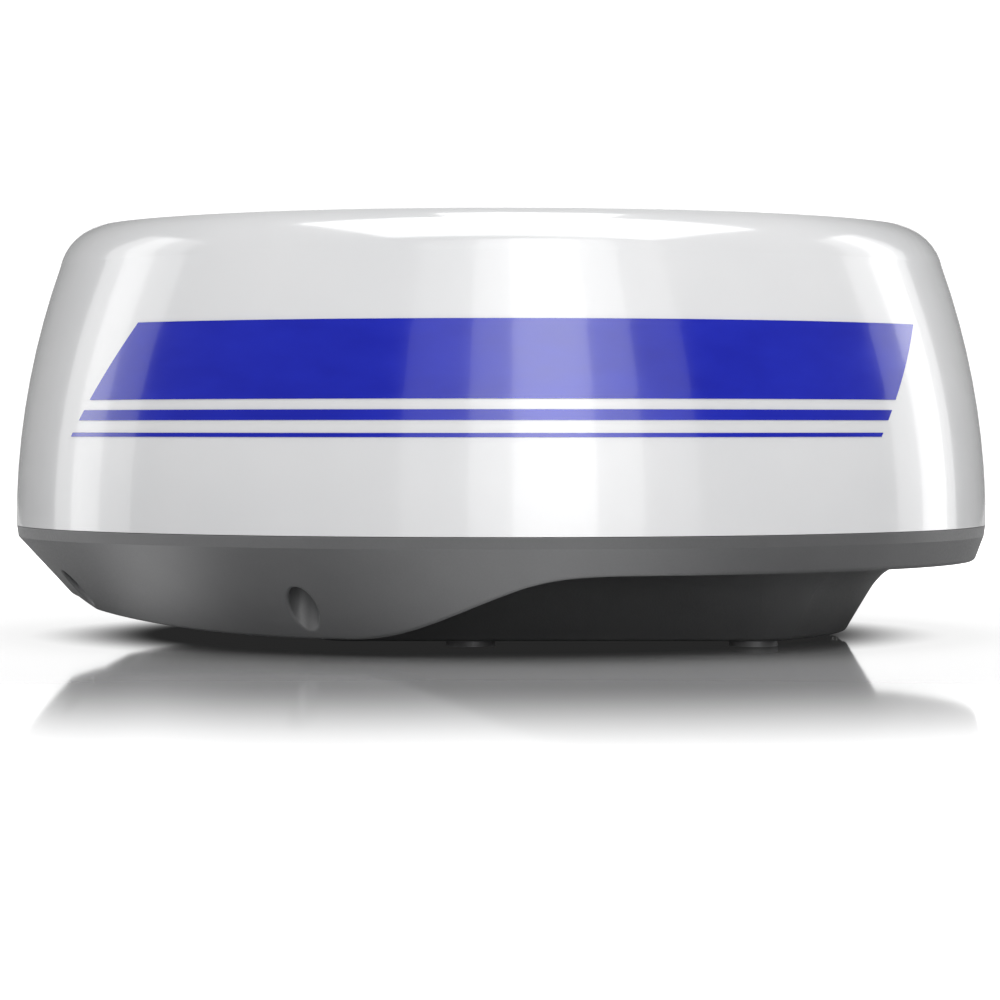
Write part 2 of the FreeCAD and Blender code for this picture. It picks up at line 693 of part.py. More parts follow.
def make_drive():
    low = size("plate_bottom")
    top = size("plate_top")
    motor_x = -size("motor_distance")
    spots = round_spots(15.5, (45, 135, 225, 315))
    motor_spots = [(x - SIZES["motor_distance"], y) for x, y in spots]
    housing_spots = round_spots(28.0, (0, 90, 180, 270))
    idler_x, idler_y = idler_centre()

    slab = plate((-150.0, 124.0), (-122.0, 122.0), (low, top), 24.0)
    holes = [cylinder(20.2, low - 1, top + 1), cylinder(11.2, low - 1, top + 1, motor_x)]
    holes += [cylinder(2.2, low - 1, top + 1, x, y) for x, y in PLATE_FIXINGS]
    holes += [cylinder(1.6, low - 1, top + 1, x, y) for x, y in motor_spots + housing_spots]
    for x, y in mirrored([(66.0, 58.0), (-66.0, 84.0)]):
        holes.append(cylinder(22.0, low - 1, top + 1, x, y))
    node("chassis_plate", cut(slab, *holes))
    screw = fuse(cylinder(3.8, top, top + 2.6), cylinder(2.0, top - 14, top + 1))
    node("chassis_screws", copies(screw, shifts(PLATE_FIXINGS)))

    bearing = size("bearing_outer")
    width = size("bearing_width")
    lower = size("lower_bearing")
    upper = size("upper_bearing")
    node("bearing_housing", cut(turned("bearing_housing_blank", [
        (bearing, lower - 1), (20.0, lower - 1), (20.0, top), (34.0, top), (34.0, top + 4), (21.5, top + 4),
        (20.0, top + 6), (20.0, upper + width + 1), (bearing, upper + width + 1), (bearing, upper),
        (14.0, upper), (14.0, lower + width), (bearing, lower + width)]),
        *[cylinder(1.6, top - 1, top + 6, x, y) for x, y in housing_spots]))
    screw = fuse(cylinder(2.8, top + 4, top + 6), cylinder(1.5, low - 1, top + 5))
    node("housing_screws", copies(screw, shifts(housing_spots)))

    shaft = size("shaft_radius")
    levels = shifts([(0.0, 0.0)], 0.0) + shifts([(0.0, 0.0)], SIZES["upper_bearing"] - SIZES["lower_bearing"])
    node("bearing_outer_races", copies(ring(bearing, 13.5, lower, lower + width), levels))
    node("bearing_inner_races", copies(ring(10.5, shaft, lower, lower + width), levels))
    ball = document.addObject("Part::Sphere", "Ball")
    ball.Radius = 1.4
    ball.Placement.Base = Vector(12.0, 0, SIZES["lower_bearing"] + SIZES["bearing_width"] / 2)
    turns = [level.multiply(Placement(Vector(), Rotation(30.0 * n, 0, 0)))
             for level in levels for n in range(12)]
    node("bearing_balls", copies(ball, turns))
    node("antenna_shaft", ring(shaft, size("shaft_bore"), size("shaft_bottom"), size("shaft_top")))
    node("shaft_circlip", cut(ring(11.0, shaft, lower - 1.6, lower - 0.4),
                              box((4.0, 12.0), (-2.5, 2.5), (lower - 2, lower))))

    belt_low = size("belt_bottom")
    belt_high = size("belt_top")
    gap = size("running_gap")
    node("driven_pulley", toothed_pulley(SIZES["driven_radius"], 60, SIZES["shaft_radius"],
                                         SIZES["belt_bottom"] - 1.3, SIZES["belt_top"] + 1.3))
    motor_pulley = toothed_pulley(SIZES["motor_pulley_radius"], 15, 2.5,
                                  SIZES["belt_bottom"] - 1.3, SIZES["belt_top"] + 1.3)
    node("motor_pulley", copies(motor_pulley, shifts([(-SIZES["motor_distance"], 0.0)])))
    belt = belt_loop(SIZES["running_gap"] + SIZES["belt_thickness"]).cut(belt_loop(SIZES["running_gap"]))
    node("drive_belt", freeform(belt.extrude(Vector(0, 0, SIZES["belt_top"] - SIZES["belt_bottom"]))))

    can = fuse(cylinder(size("motor_radius"), 16.0, low, motor_x),
               cylinder(11.0, low - 1, top + 0.6, motor_x),
               box((motor_x - 26, motor_x), (-6.0, 6.0), (18.0, 30.0)))
    motor_holes = [cylinder(2.6, 26.0, top + 2, motor_x)]
    motor_holes += [cylinder(1.55, low - 7, low + 1, x, y) for x, y in motor_spots]
    node("drive_motor", cut(can, *motor_holes))
    node("motor_shaft", cylinder(2.5, 28.0, belt_high + 2, motor_x))
    screw = fuse(cylinder(2.8, top, top + 2), cylinder(1.5, low - 6, top + 1))
    node("motor_screws", copies(screw, shifts(motor_spots)))

    arm = plate((idler_x - 12, idler_x + 12), (idler_y - 8, idler_y + 8), (top, top + 3), 6.0)
    node("idler_bracket", cut(arm, cylinder(3.0, top - 1, top + 4, idler_x, idler_y)))
    axle = fuse(cylinder(3.0, top, belt_high + 0.6, idler_x, idler_y),
                cylinder(5.0, top + 3, belt_low - 0.6, idler_x, idler_y),
                cylinder(4.6, belt_high + 0.4, belt_high + 1.8, idler_x, idler_y))
    node("idler_axle", axle)
    node("idler_wheel", ring(size("idler_radius"), 3.06, belt_low - 0.2, belt_high - 0.2, idler_x, idler_y))

    sensor = fuse(box((34.0, 44.0), (-6.0, 6.0), (top, top + 2)),
                  box((36.0, 42.0), (-4.0, 4.0), (top + 1, 66.0)))
    node("position_sensor", sensor)
    node("index_magnet", cylinder(2.5, 66.8, belt_low - 1.3, 39.0, 0.0))

    board = size("board_top")
    stator = fuse(ring(16.0, 9.0, board, board + 2.4), ring(13.0, 4.9, board + 2, size("shaft_bottom") - 0.6))
    node("slip_ring_stator", stator)
    rotor = fuse(cylinder(4.6, board + 6, 40.0), cylinder(size("shaft_bore"), size("shaft_bottom"), 70.0))
    node("slip_ring_rotor", rotor)


# ---------------------------------------------------------------- electronics in the base

def make_electronics():
    low = size("board_bottom")
    top = size("board_top")
    floor = size("tub_floor")
    main_spots = mirrored([(-62.0, 84.0), (24.0, 84.0)])
    power_spots = mirrored([(40.0, 56.0), (118.0, 56.0)])
    spots = main_spots + power_spots
    standoff = ring(3.2, 1.55, floor, low)
    node("board_standoffs", copies(standoff, shifts(spots)))
    screw = fuse(cylinder(2.7, top, top + 1.8), cylinder(1.5, floor + 1, top + 1))
    node("board_screws", copies(screw, shifts(spots)))

    board = plate((-68.0, 30.0), (-90.0, 90.0), (low, top), 4.0)
    node("main_board", cut(board, *[cylinder(1.6, low - 1, top + 1, x, y) for x, y in main_spots]))
    board = plate((34.0, 124.0), (-62.0, 62.0), (low, top), 4.0)
    node("power_board", cut(board, *[cylinder(1.6, low - 1, top + 1, x, y) for x, y in power_spots]))
    can = cut(plate((-56.0, 6.0), (26.0, 74.0), (top, top + 8), 3.0),
              plate((-55.0, 5.0), (27.0, 73.0), (top - 1, top + 7), 2.0))
    node("shield_can", can)
    capacitor = cylinder(8.0, top, top + 20)
    node("capacitors", copies(capacitor, shifts([(52.0, 36.0), (52.0, 16.0), (52.0, -4.0)])))
    coil = document.addObject("Part::Torus", "Coil")
    coil.Radius1 = 11.0
    coil.Radius2 = 5.0
    coil.Placement.Base = Vector(92.0, 22.0, SIZES["board_top"] + 5)
    node("power_choke", coil)


# ---------------------------------------------------------------- rotating antenna

def make_antenna():
    low = size("turntable_bottom")
    top = size("turntable_top")
    hub = ring(15.0, size("shaft_radius"), size("belt_top") + 1.3, low + 1)
    bed = cut(plate((-34.0, 64.0), (-80.0, 80.0), (low, top), 12.0),
              cylinder(size("shaft_radius"), low - 1, top + 1))
    node("turntable", fuse(hub, bed))

    shelf = size("array_bottom") + 5
    web = [(-21.9, top), (30.0, top), (30.0, top + 8), (-17.0, 150.0), (-31.0, 150.0), (-31.0, shelf),
           (-21.9, shelf)]
    upright = cast_block("upright_blank", web, -2.0, 2.0, "XZ_Plane")
    node("support_brackets", copies(upright, [Placement(Vector(0, y, 0), Rotation()) for y in (-70.0, 70.0)]))

    half = size("array_half_length")
    bottom = size("array_bottom")
    height = size("array_top")
    screw_spots = [(y, z) for y in (-70.0, 70.0) for z in (112.0, 142.0)]
    along = Rotation(Vector(0, 1, 0), 90)
    through = [Placement(Vector(-42.0, y, z), along) for y, z in screw_spots]
    frame = cut(box((-34.0, -22.0), (-half + 3, half - 3), (bottom + 2, height - 2)),
                box((-31.0, -20.0), (-half, half), (bottom + 5, height - 5)))
    drills = copies(cylinder(1.6, 0.0, 20.0), through)
    node("panel_frame", cut(frame, drills))
    panel = box((-37.0, -34.0), (-half + 3, half - 3), (bottom + 2, height - 2))
    drills = copies(cylinder(3.2, 0.0, 20.0), through)
    node("antenna_panel", cut(panel, drills))
    cover = cut(plate((-48.0, -34.0), (-half, half), (bottom, height), 6.0),
                box((-46.0, -30.0), (-half + 2.5, half - 2.5), (bottom + 1.6, height - 1.6)))
    node("array_cover", cover)
    screw = fuse(cylinder(2.8, 6.2, 8.0), cylinder(1.5, 7.0, 11.0))
    node("panel_screws", copies(screw, through))

    outer = plate((-16.0, 58.0), (-60.0, 60.0), (top, top + 34), 6.0)
    inner = plate((-13.0, 55.0), (-57.0, 57.0), (top + 3, top + 35), 4.0)
    ears = mirrored([(-9.0, 53.0), (51.0, 53.0)])
    posts = [cylinder(4.0, top + 1, top + 34, x, y) for x, y in ears]
    bores = [cylinder(1.55, top + 22, top + 40, x, y) for x, y in ears]
    shaft_hole = cylinder(size("shaft_radius") + 0.5, top - 1, top + 5)
    node("transceiver_housing", cut(fuse(cut(outer, inner), *posts), shaft_hole, *bores))
    board = plate((-4.0, 46.0), (-46.0, 46.0), (top + 12, top + 13.6), 3.0)
    supports = [cylinder(3.0, top + 3, top + 12, x, y) for x, y in mirrored([(2.0, 40.0), (40.0, 40.0)])]
    node("transceiver_board", fuse(board, *supports))
    lid = plate((-16.0, 58.0), (-60.0, 60.0), (top + 34, top + 36), 6.0)
    node("transceiver_lid", cut(lid, *[cylinder(1.6, top + 30, top + 40, x, y) for x, y in ears]))
    screw = fuse(cylinder(2.7, top + 36, top + 37.8), cylinder(1.5, top + 24, top + 37))
    node("lid_screws", copies(screw, shifts(ears)))


def check_document():
    """Stop if any object failed, or any piece is empty or broken."""
    document.recompute()
    for thing in document.Objects:
        if "Invalid" in thing.State or "Error" in thing.State:
            raise RuntimeError("failed: %s %s" % (thing.Label, thing.State))
    for thing in nodes:
        if thing.Shape.isNull() or not thing.Shape.isValid() or not thing.Shape.Solids:
            raise RuntimeError("bad shape: " + thing.Label)


make_radome()
make_base()
make_base_fittings()
make_connector()
make_drive()
make_electronics()
make_antenna()
check_document()

os.makedirs("parts", exist_ok=True)
for piece in nodes:
    piece.Shape.exportStep("parts/%s.step" % piece.Label)
    print("%-22s %2d solids %10.0f mm3" % (piece.Label, len(piece.Shape.Solids), piece.Shape.Volume))
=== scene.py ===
import json
import math
import random

import bmesh
import bpy
from mathutils import Matrix, Vector


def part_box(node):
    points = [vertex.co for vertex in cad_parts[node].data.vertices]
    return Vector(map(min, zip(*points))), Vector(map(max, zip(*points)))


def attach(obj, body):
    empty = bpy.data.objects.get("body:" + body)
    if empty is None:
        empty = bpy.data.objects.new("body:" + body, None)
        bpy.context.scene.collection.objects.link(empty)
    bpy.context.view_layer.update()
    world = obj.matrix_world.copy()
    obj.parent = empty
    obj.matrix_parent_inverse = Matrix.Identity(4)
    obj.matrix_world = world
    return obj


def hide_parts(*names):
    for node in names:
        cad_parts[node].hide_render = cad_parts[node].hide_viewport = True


# Looks of a marine radar dome. Metres, +Z up, bow towards -X, port side towards -Y.

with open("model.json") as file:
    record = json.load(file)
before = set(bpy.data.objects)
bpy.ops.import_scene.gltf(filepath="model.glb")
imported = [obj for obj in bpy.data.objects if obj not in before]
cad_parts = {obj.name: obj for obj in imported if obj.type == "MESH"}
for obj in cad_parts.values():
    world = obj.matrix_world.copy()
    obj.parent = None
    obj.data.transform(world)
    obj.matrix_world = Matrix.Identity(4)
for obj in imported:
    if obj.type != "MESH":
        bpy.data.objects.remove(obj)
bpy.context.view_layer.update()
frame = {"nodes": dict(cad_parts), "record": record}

DOME_LOW, DOME_HIGH = (Vector(corner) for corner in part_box("radome_cover"))
DOME_RADIUS = DOME_HIGH.x
SEAM_HEIGHT = DOME_LOW.z
DOME_TOP = DOME_HIGH.z


# ------------------------------------------------------------------ materials

class Look:
    """A node material, built step by step around one Principled shader."""

    def __init__(self, name, roughness=0.5, metallic=0.0, **uniform):
        self.material = bpy.data.materials.new(name)
        self.material.use_nodes = True
        self.tree = self.material.node_tree
        self.shader = self.tree.nodes["Principled BSDF"]
        self.shader.inputs["Roughness"].default_value = roughness
        self.shader.inputs["Metallic"].default_value = metallic
        for socket, value in uniform.items():
            self.shader.inputs[socket.replace("_", " ")].default_value = value
        self.place = self.node("ShaderNodeTexCoord").outputs["Object"]

    def node(self, kind, inputs=None, **settings):
        """Add a node. An input is a value, or another node's output to link."""
        made = self.tree.nodes.new(kind)
        for key, value in settings.items():
            setattr(made, key, value)
        for socket, value in (inputs or {}).items():
            if hasattr(value, "is_output"):
                self.tree.links.new(value, made.inputs[socket])
            else:
                made.inputs[socket].default_value = value
        return made

    def noise(self, size, detail=3.0, roughness=0.55, stretch=None):
        """Soft noise whose blotches are about this many metres across."""
        place = self.place
        if stretch:
            place = self.node("ShaderNodeMapping", {"Vector": place, "Scale": stretch}).outputs[0]
        made = self.node("ShaderNodeTexNoise", {"Vector": place, "Scale": 1.0 / size, "Detail": detail,
                                                "Roughness": roughness})
        return made.outputs["Fac"]

    def ramp(self, factor, low, high, start=0.3, stop=0.7):
        """Blend from low to high as the factor goes from start to stop."""
        made = self.node("ShaderNodeValToRGB", {"Fac": factor})
        for element, position, colour in zip(made.color_ramp.elements, (start, stop), (low, high)):
            element.position = position
            element.color = tuple(colour) + (1.0,)
        return made.outputs["Color"]

    def span(self, factor, low, high, start=0.3, stop=0.7):
        """Go from the value low to the value high as the factor goes from start to stop."""
        made = self.node("ShaderNodeMapRange", {"Value": factor, "From Min": start, "From Max": stop,
                                                "To Min": low, "To Max": high})
        return made.outputs["Result"]

    def mix(self, factor, first, second):
        """Blend two colours, each of them a link or four numbers."""
        made = self.node("ShaderNodeMix", data_type="RGBA")
        for socket, value in ((made.inputs[0], factor), (made.inputs[6], first), (made.inputs[7], second)):
            if hasattr(value, "is_output"):
                self.tree.links.new(value, socket)
            else:
                socket.default_value = value
        return made.outputs[2]

    def edges(self, width, strength):
        """How much a point is on an edge: where a rounding of this width would tilt the surface."""
        soft = self.node("ShaderNodeBevel", {"Radius": width}, samples=4).outputs["Normal"]
        hard = self.node("ShaderNodeNewGeometry").outputs["Normal"]
        same = self.node("ShaderNodeVectorMath", {0: soft, 1: hard}, operation="DOT_PRODUCT").outputs["Value"]
        return self.span(same, strength, 0.0, 0.75, 0.98)

    def colour(self, source):
        self.tree.links.new(source, self.shader.inputs["Base Color"])
        return self

    def rough(self, source):
        self.tree.links.new(source, self.shader.inputs["Roughness"])
        return self

    def bump(self, height, strength, depth):
        """Add a bump layer over the ones already there."""
        under = self.shader.inputs["Normal"].links
        inputs = {"Height": height, "Strength": strength, "Distance": depth}
        if under:
            inputs["Normal"] = under[0].from_socket
        made = self.node("ShaderNodeBump", inputs)
        self.tree.links.new(made.outputs["Normal"], self.shader.inputs["Normal"])
        return self


def gloss_white():
    """Sprayed gelcoat: nearly clean white, a trace of orange peel, faint haze from polishing."""
    look = Look("radome_gelcoat", 0.1, Coat_Weight=0.6, Coat_Roughness=0.05, Specular_IOR_Level=0.5)
    broad = look.noise(0.09, 2.0)
    look.colour(look.ramp(broad, (0.80, 0.805, 0.815), (0.84, 0.842, 0.85)))
    haze = look.noise(0.03, 4.0, stretch=(1.0, 1.0, 3.0))
    look.rough(look.span(haze, 0.13, 0.2))
    return look.bump(look.noise(0.006, 1.0), 0.015, 0.0004).material


def grained_grey():
    """Spark-eroded moulded plastic: mid grey, fine leathery grain, slightly polished edges."""
    look = Look("base_grained_grey", 0.42, Specular_IOR_Level=0.45)
    grain = look.noise(0.0011, 4.0, 0.65)
    blotch = look.noise(0.05, 3.0)
    body = look.ramp(blotch, (0.088, 0.089, 0.091), (0.101, 0.102, 0.104))
    worn = look.edges(0.0012, 0.4)
    speckled = look.mix(look.span(grain, 0.0, 0.16, 0.35, 0.75), body, (0.15, 0.15, 0.155, 1.0))
    look.colour(look.mix(worn, speckled, (0.20, 0.20, 0.21, 1.0)))
    look.rough(look.span(grain, 0.36, 0.52))
    return look.bump(grain, 0.28, 0.00035).material


def plain_metal(name, light, dark, roughness, stretch=(1.0, 1.0, 1.0), grain_size=0.004):
    """Machined or brushed metal with faint streaks, blotches and brighter edges."""
    look = Look(name, roughness, 1.0)
    streak = look.noise(grain_size, 4.0, 0.6, stretch)
    blotch = look.noise(0.02, 2.0)
    body = look.mix(look.span(blotch, 0.0, 0.5), look.ramp(streak, dark, light), tuple(light) + (1.0,))
    look.colour(look.mix(look.edges(0.0003, 0.5), body, (0.9, 0.9, 0.9, 1.0)))
    look.rough(look.span(streak, roughness - 0.07, roughness + 0.1))
    return look.bump(streak, 0.12, 0.0002).material


def rubber():
    """Black rubber with a little dust in its grain."""
    look = Look("rubber_black", 0.7, Specular_IOR_Level=0.35)
    grain = look.noise(0.0012, 3.0)
    dust = look.noise(0.015, 4.0)
    look.colour(look.ramp(dust, (0.012, 0.012, 0.013), (0.035, 0.034, 0.033), 0.35, 0.8))
    look.rough(look.span(dust, 0.62, 0.8))
    return look.bump(grain, 0.3, 0.0002).material


def moulded_black():
    """Black moulded plastic: fine grain, edges rubbed a little paler."""
    look = Look("moulded_black", 0.45, Specular_IOR_Level=0.5)
    grain = look.noise(0.0008, 3.0)
    blotch = look.noise(0.01, 3.0)
    body = look.ramp(blotch, (0.018, 0.018, 0.02), (0.03, 0.03, 0.033))
    look.colour(look.mix(look.edges(0.0003, 0.6), body, (0.11, 0.11, 0.115, 1.0)))
    look.rough(look.span(blotch, 0.38, 0.55))
    return look.bump(grain, 0.25, 0.0002).material


def array_skin():
    """Thin moulded cover of the radiating panel, off-white with a fine weave of glass fibre."""
    look = Look("array_skin", 0.5, Specular_IOR_Level=0.4)
    weave = look.node("ShaderNodeTexWave", {"Vector": look.place, "Scale": 260.0, "Distortion": 0.6},
                      bands_direction="Z").outputs["Fac"]
    blotch = look.noise(0.03, 3.0)
    look.colour(look.ramp(blotch, (0.66, 0.65, 0.60), (0.74, 0.73, 0.69)))
    look.rough(look.span(blotch, 0.42, 0.58))
    return look.bump(weave, 0.08, 0.0002).material


def motor_paint():
    """Dark enamel on the motor's can, worn to bare metal on the edges."""
    look = Look("motor_paint", 0.4, Specular_IOR_Level=0.5)
    blotch = look.noise(0.012, 3.0)
    body = look.ramp(blotch, (0.03, 0.033, 0.037), (0.05, 0.053, 0.058))
    look.colour(look.mix(look.edges(0.0005, 0.7), body, (0.35, 0.35, 0.36, 1.0)))
    look.rough(look.span(blotch, 0.32, 0.5))
    return look.bump(look.noise(0.0015, 3.0), 0.2, 0.0002).material


def board_lacquer():
    """Solder-resist green over copper tracks that run in straight steps."""
    look = Look("board_lacquer", 0.3, Specular_IOR_Level=0.55)
    pattern = {"Vector": look.place, "Scale": 55.0, "Mortar Size": 0.035,
               "Color1": (0.0, 0.0, 0.0, 1.0), "Color2": (0.3, 0.3, 0.3, 1.0), "Mortar": (1.0, 1.0, 1.0, 1.0)}
    tracks = look.node("ShaderNodeTexBrick", pattern).outputs["Color"]
    blotch = look.noise(0.02, 2.0)
    base = look.ramp(blotch, (0.008, 0.075, 0.032), (0.013, 0.10, 0.045))
    look.colour(look.mix(look.span(tracks, 0.0, 0.8, 0.2, 1.0), base, (0.03, 0.17, 0.075, 1.0)))
    look.rough(look.span(blotch, 0.25, 0.38))
    return look.bump(tracks, 0.3, 0.0001).material


def sleeved():
    """Shrunk dark blue-black sleeve of a component."""
    look = Look("sleeved_component", 0.3, Specular_IOR_Level=0.5)
    blotch = look.noise(0.008, 3.0)
    look.colour(look.ramp(blotch, (0.012, 0.013, 0.03), (0.022, 0.024, 0.05)))
    look.rough(look.span(blotch, 0.22, 0.38))
    return look.bump(look.noise(0.002, 2.0), 0.1, 0.0002).material


def stripe_blue():
    """Gloss vinyl: one strong blue, slightly uneven where it was squeegeed on."""
    look = Look("stripe_blue", 0.14, Coat_Weight=0.5, Coat_Roughness=0.05)
    broad = look.noise(0.05, 3.0, stretch=(1.0, 1.0, 2.5))
    look.colour(look.ramp(broad, (0.0015, 0.009, 0.42), (0.003, 0.014, 0.50)))
    look.rough(look.span(broad, 0.12, 0.2))
    return look.bump(look.noise(0.008, 1.0), 0.02, 0.0003).material


def enamelled_copper():
    """Winding wire: copper under clear enamel."""
    look = Look("enamelled_copper", 0.26, 1.0, Coat_Weight=0.7, Coat_Roughness=0.1)
    blotch = look.noise(0.004, 3.0)
    look.colour(look.ramp(blotch, (0.52, 0.17, 0.05), (0.68, 0.27, 0.10)))
    look.rough(look.span(blotch, 0.2, 0.36))
    return look.bump(look.noise(0.0015, 2.0), 0.1, 0.0001).material


COPPER = enamelled_copper()
SLOT_LOOKS = {
    "radome_white": gloss_white(),
    "base_grey": grained_grey(),
    "rubber_black": rubber(),
    "stainless": plain_metal("stainless", (0.62, 0.61, 0.59), (0.46, 0.455, 0.44), 0.28),
    "brass": plain_metal("brass", (0.78, 0.56, 0.24), (0.60, 0.41, 0.16), 0.3),
    "black_plastic": moulded_black(),
    "aluminium": plain_metal("aluminium", (0.74, 0.75, 0.76), (0.60, 0.61, 0.62), 0.38, (1.0, 12.0, 1.0)),
    "motor_paint": motor_paint(),
    "board_green": board_lacquer(),
    "can_steel": plain_metal("can_steel", (0.76, 0.75, 0.72), (0.62, 0.61, 0.58), 0.25, grain_size=0.01),
    "component_black": sleeved(),
    "transceiver_alloy": plain_metal("transceiver_alloy", (0.62, 0.63, 0.64), (0.48, 0.49, 0.5), 0.5,
                                     grain_size=0.0015),
    "array_skin": array_skin(),
}


def wear(thing, material):
    """Give an object one material on all its faces."""
    thing.data.materials.clear()
    thing.data.materials.append(material)
    return thing


def soften(thing, angle=35.0):
    """Smooth shading that keeps true corners crisp, without moving a vertex."""
    for polygon in thing.data.polygons:
        polygon.use_smooth = True
    thing.data.set_sharp_from_angle(angle=math.radians(angle))


def dress_frame():
    """Give every CAD node the look of its material slot."""
    slot_of = {row["node"]: row["material_slot"] for row in frame["record"]["subparts"]}
    for name, thing in frame["nodes"].items():
        wear(thing, SLOT_LOOKS[slot_of[name]])


# ------------------------------------------------------------------ dome stripes

SHOULDER_INSET = 0.023
SHOULDER_DROP = 0.030
FLANK_BEND = 0.400          # radius of the flank's upright arc
VINYL_FACES = (0.00045, 0.00015)    # outer and inner face, above the dome's skin


def flank_radius(height):
    """The radome's outside radius at a height on its flank: one arc from the seam to the shoulder."""
    low = Vector((DOME_RADIUS, SEAM_HEIGHT))
    high = Vector((DOME_RADIUS - SHOULDER_INSET, DOME_TOP - SHOULDER_DROP))
    chord = high - low
    across = Vector((-chord.y, chord.x)).normalized()
    middle = low + chord * 0.5
    centre = middle + across * math.sqrt(FLANK_BEND ** 2 - (chord.length / 2) ** 2)
    return centre.x + math.sqrt(FLANK_BEND ** 2 - (height - centre.y) ** 2)


def flank_decal(name, facing, bottom, top, material):
    """A thin closed vinyl shape on the flank.

    Its bottom and top edges are (start, end, height), in degrees from where it faces, and metres.
    """
    rows, columns = 8, 120
    mesh = bmesh.new()
    layers = []
    for lift in VINYL_FACES:
        grid = []
        for i in range(rows + 1):
            start, end, height = (low + (high - low) * i / rows for low, high in zip(bottom, top))
            line = []
            for j in range(columns + 1):
                angle = facing + math.radians(start + (end - start) * j / columns)
                radius = flank_radius(height) + lift
                line.append(mesh.verts.new((radius * math.cos(angle), radius * math.sin(angle), height)))
            grid.append(line)
        layers.append(grid)
    for grid in layers:
        for i in range(rows):
            for j in range(columns):
                mesh.faces.new((grid[i][j], grid[i][j + 1], grid[i + 1][j + 1], grid[i + 1][j]))
    outer, inner = (rim_of(grid) for grid in layers)
    for k in range(len(outer)):
        after = (k + 1) % len(outer)
        mesh.faces.new((outer[k], outer[after], inner[after], inner[k]))
    return object_from(mesh, name, material)


def rim_of(grid):
    """The border of a grid of vertices, once round."""
    right = [line[-1] for line in grid[1:-1]]
    left = [line[0] for line in grid[1:-1]]
    return grid[0] + right + grid[-1][::-1] + left[::-1]


def object_from(mesh, name, material):
    """Turn a mesh into a smooth-shaded object in the scene."""
    bmesh.ops.recalc_face_normals(mesh, faces=mesh.faces)
    data = bpy.data.meshes.new(name)
    mesh.to_mesh(data)
    mesh.free()
    thing = bpy.data.objects.new(name, data)
    bpy.context.collection.objects.link(thing)
    wear(thing, material)
    soften(thing)
    return thing


def make_stripes():
    """A plain broad band over two thin lines, on each side of the dome, all ending on one slant."""
    blue = stripe_blue()
    bands = {"band": (0.1225, 0.160), "line": (0.1125, 0.1175), "hairline": (0.1045, 0.1065)}
    reach = 52.0        # degrees to each side of the middle
    slant = 190.0       # degrees of sweep per metre of height
    centred_at = 0.132
    for side, facing, lean in (("port", -math.pi / 2, slant), ("starboard", math.pi / 2, -slant)):
        for part, heights in bands.items():
            sweeps = (lean * (height - centred_at) for height in heights)
            bottom, top = ((sweep - reach, sweep + reach, height) for sweep, height in zip(sweeps, heights))
            decal = flank_decal("stripe_%s_%s" % (part, side), facing, bottom, top, blue)
            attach(decal, "radome")


# ------------------------------------------------------------------ mesh helpers, all in millimetres

ON_AXIS = 1e-6      # a radius below this is a point on the axis


def add_block(mesh, low, high, bevel=0.0, draft=0.0):
    """A block between two corners, with rounded edges; draft draws its top in on every side."""
    corners = []
    for vertex in bmesh.ops.create_cube(mesh, size=1.0)["verts"]:
        share = [part + 0.5 for part in vertex.co]
        inward = [draft * share[2] * (1 - 2 * share[axis]) for axis in (0, 1)] + [0.0]
        vertex.co = [low[axis] + (high[axis] - low[axis]) * share[axis] + inward[axis] for axis in range(3)]
        corners.append(vertex)
    if bevel:
        edges = list({edge for vertex in corners for edge in vertex.link_edges})
        bmesh.ops.bevel(mesh, geom=edges, offset=bevel, segments=2, affect="EDGES", profile=0.6)


def add_turned(mesh, profile, centre=(0.0, 0.0), steps=40):
    """A turned solid: a closed outline of (radius, height) points swept round an upright axis."""
    rings = []
    for radius, height in profile:
        if radius < ON_AXIS:
            rings.append([mesh.verts.new((centre[0], centre[1], height))] * steps)
            continue
        ring = []
        for k in range(steps):
            turn = 2 * math.pi * k / steps
            x = centre[0] + radius * math.cos(turn)
            y = centre[1] + radius * math.sin(turn)
            ring.append(mesh.verts.new((x, y, height)))
        rings.append(ring)
    open_ended = profile[0][0] < ON_AXIS and profile[-1][0] < ON_AXIS
    for lower, upper in zip(rings, rings[1:] if open_ended else rings[1:] + rings[:1]):
        for k in range(steps):
            after = (k + 1) % steps
            loop = []
            for vertex in (lower[k], lower[after], upper[after], upper[k]):
                if vertex not in loop:
                    loop.append(vertex)
            if len(loop) > 2:
                mesh.faces.new(loop)


def add_torus(mesh, centre, axis_turn, major, minor, steps, sides):
    """A ring of round section. axis_turn places it: its own axis is +Z before that."""
    grid = []
    for j in range(steps):
        turn = 2 * math.pi * j / steps
        row = []
        for k in range(sides):
            tilt = 2 * math.pi * k / sides
            reach = major + minor * math.cos(tilt)
            point = Vector((reach * math.cos(turn), reach * math.sin(turn), minor * math.sin(tilt)))
            row.append(mesh.verts.new(Vector(centre) + axis_turn @ point))
        grid.append(row)
    for j in range(steps):
        for k in range(sides):
            after_j, after_k = (j + 1) % steps, (k + 1) % sides
            mesh.faces.new((grid[j][k], grid[after_j][k], grid[after_j][after_k], grid[j][after_k]))


def fitted(mesh, name, material, body):
    """Turn a mesh in millimetres into a piece that rides on a body."""
    mesh.transform(Matrix.Scale(0.001, 4))
    thing = object_from(mesh, name, material)
    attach(thing, body)
    return thing


def merge(target, source):
    """Move one mesh's faces into another."""
    data = bpy.data.meshes.new("passing")
    source.to_mesh(data)
    source.free()
    target.from_mesh(data)
    bpy.data.meshes.remove(data)


# ------------------------------------------------------------------ drive details

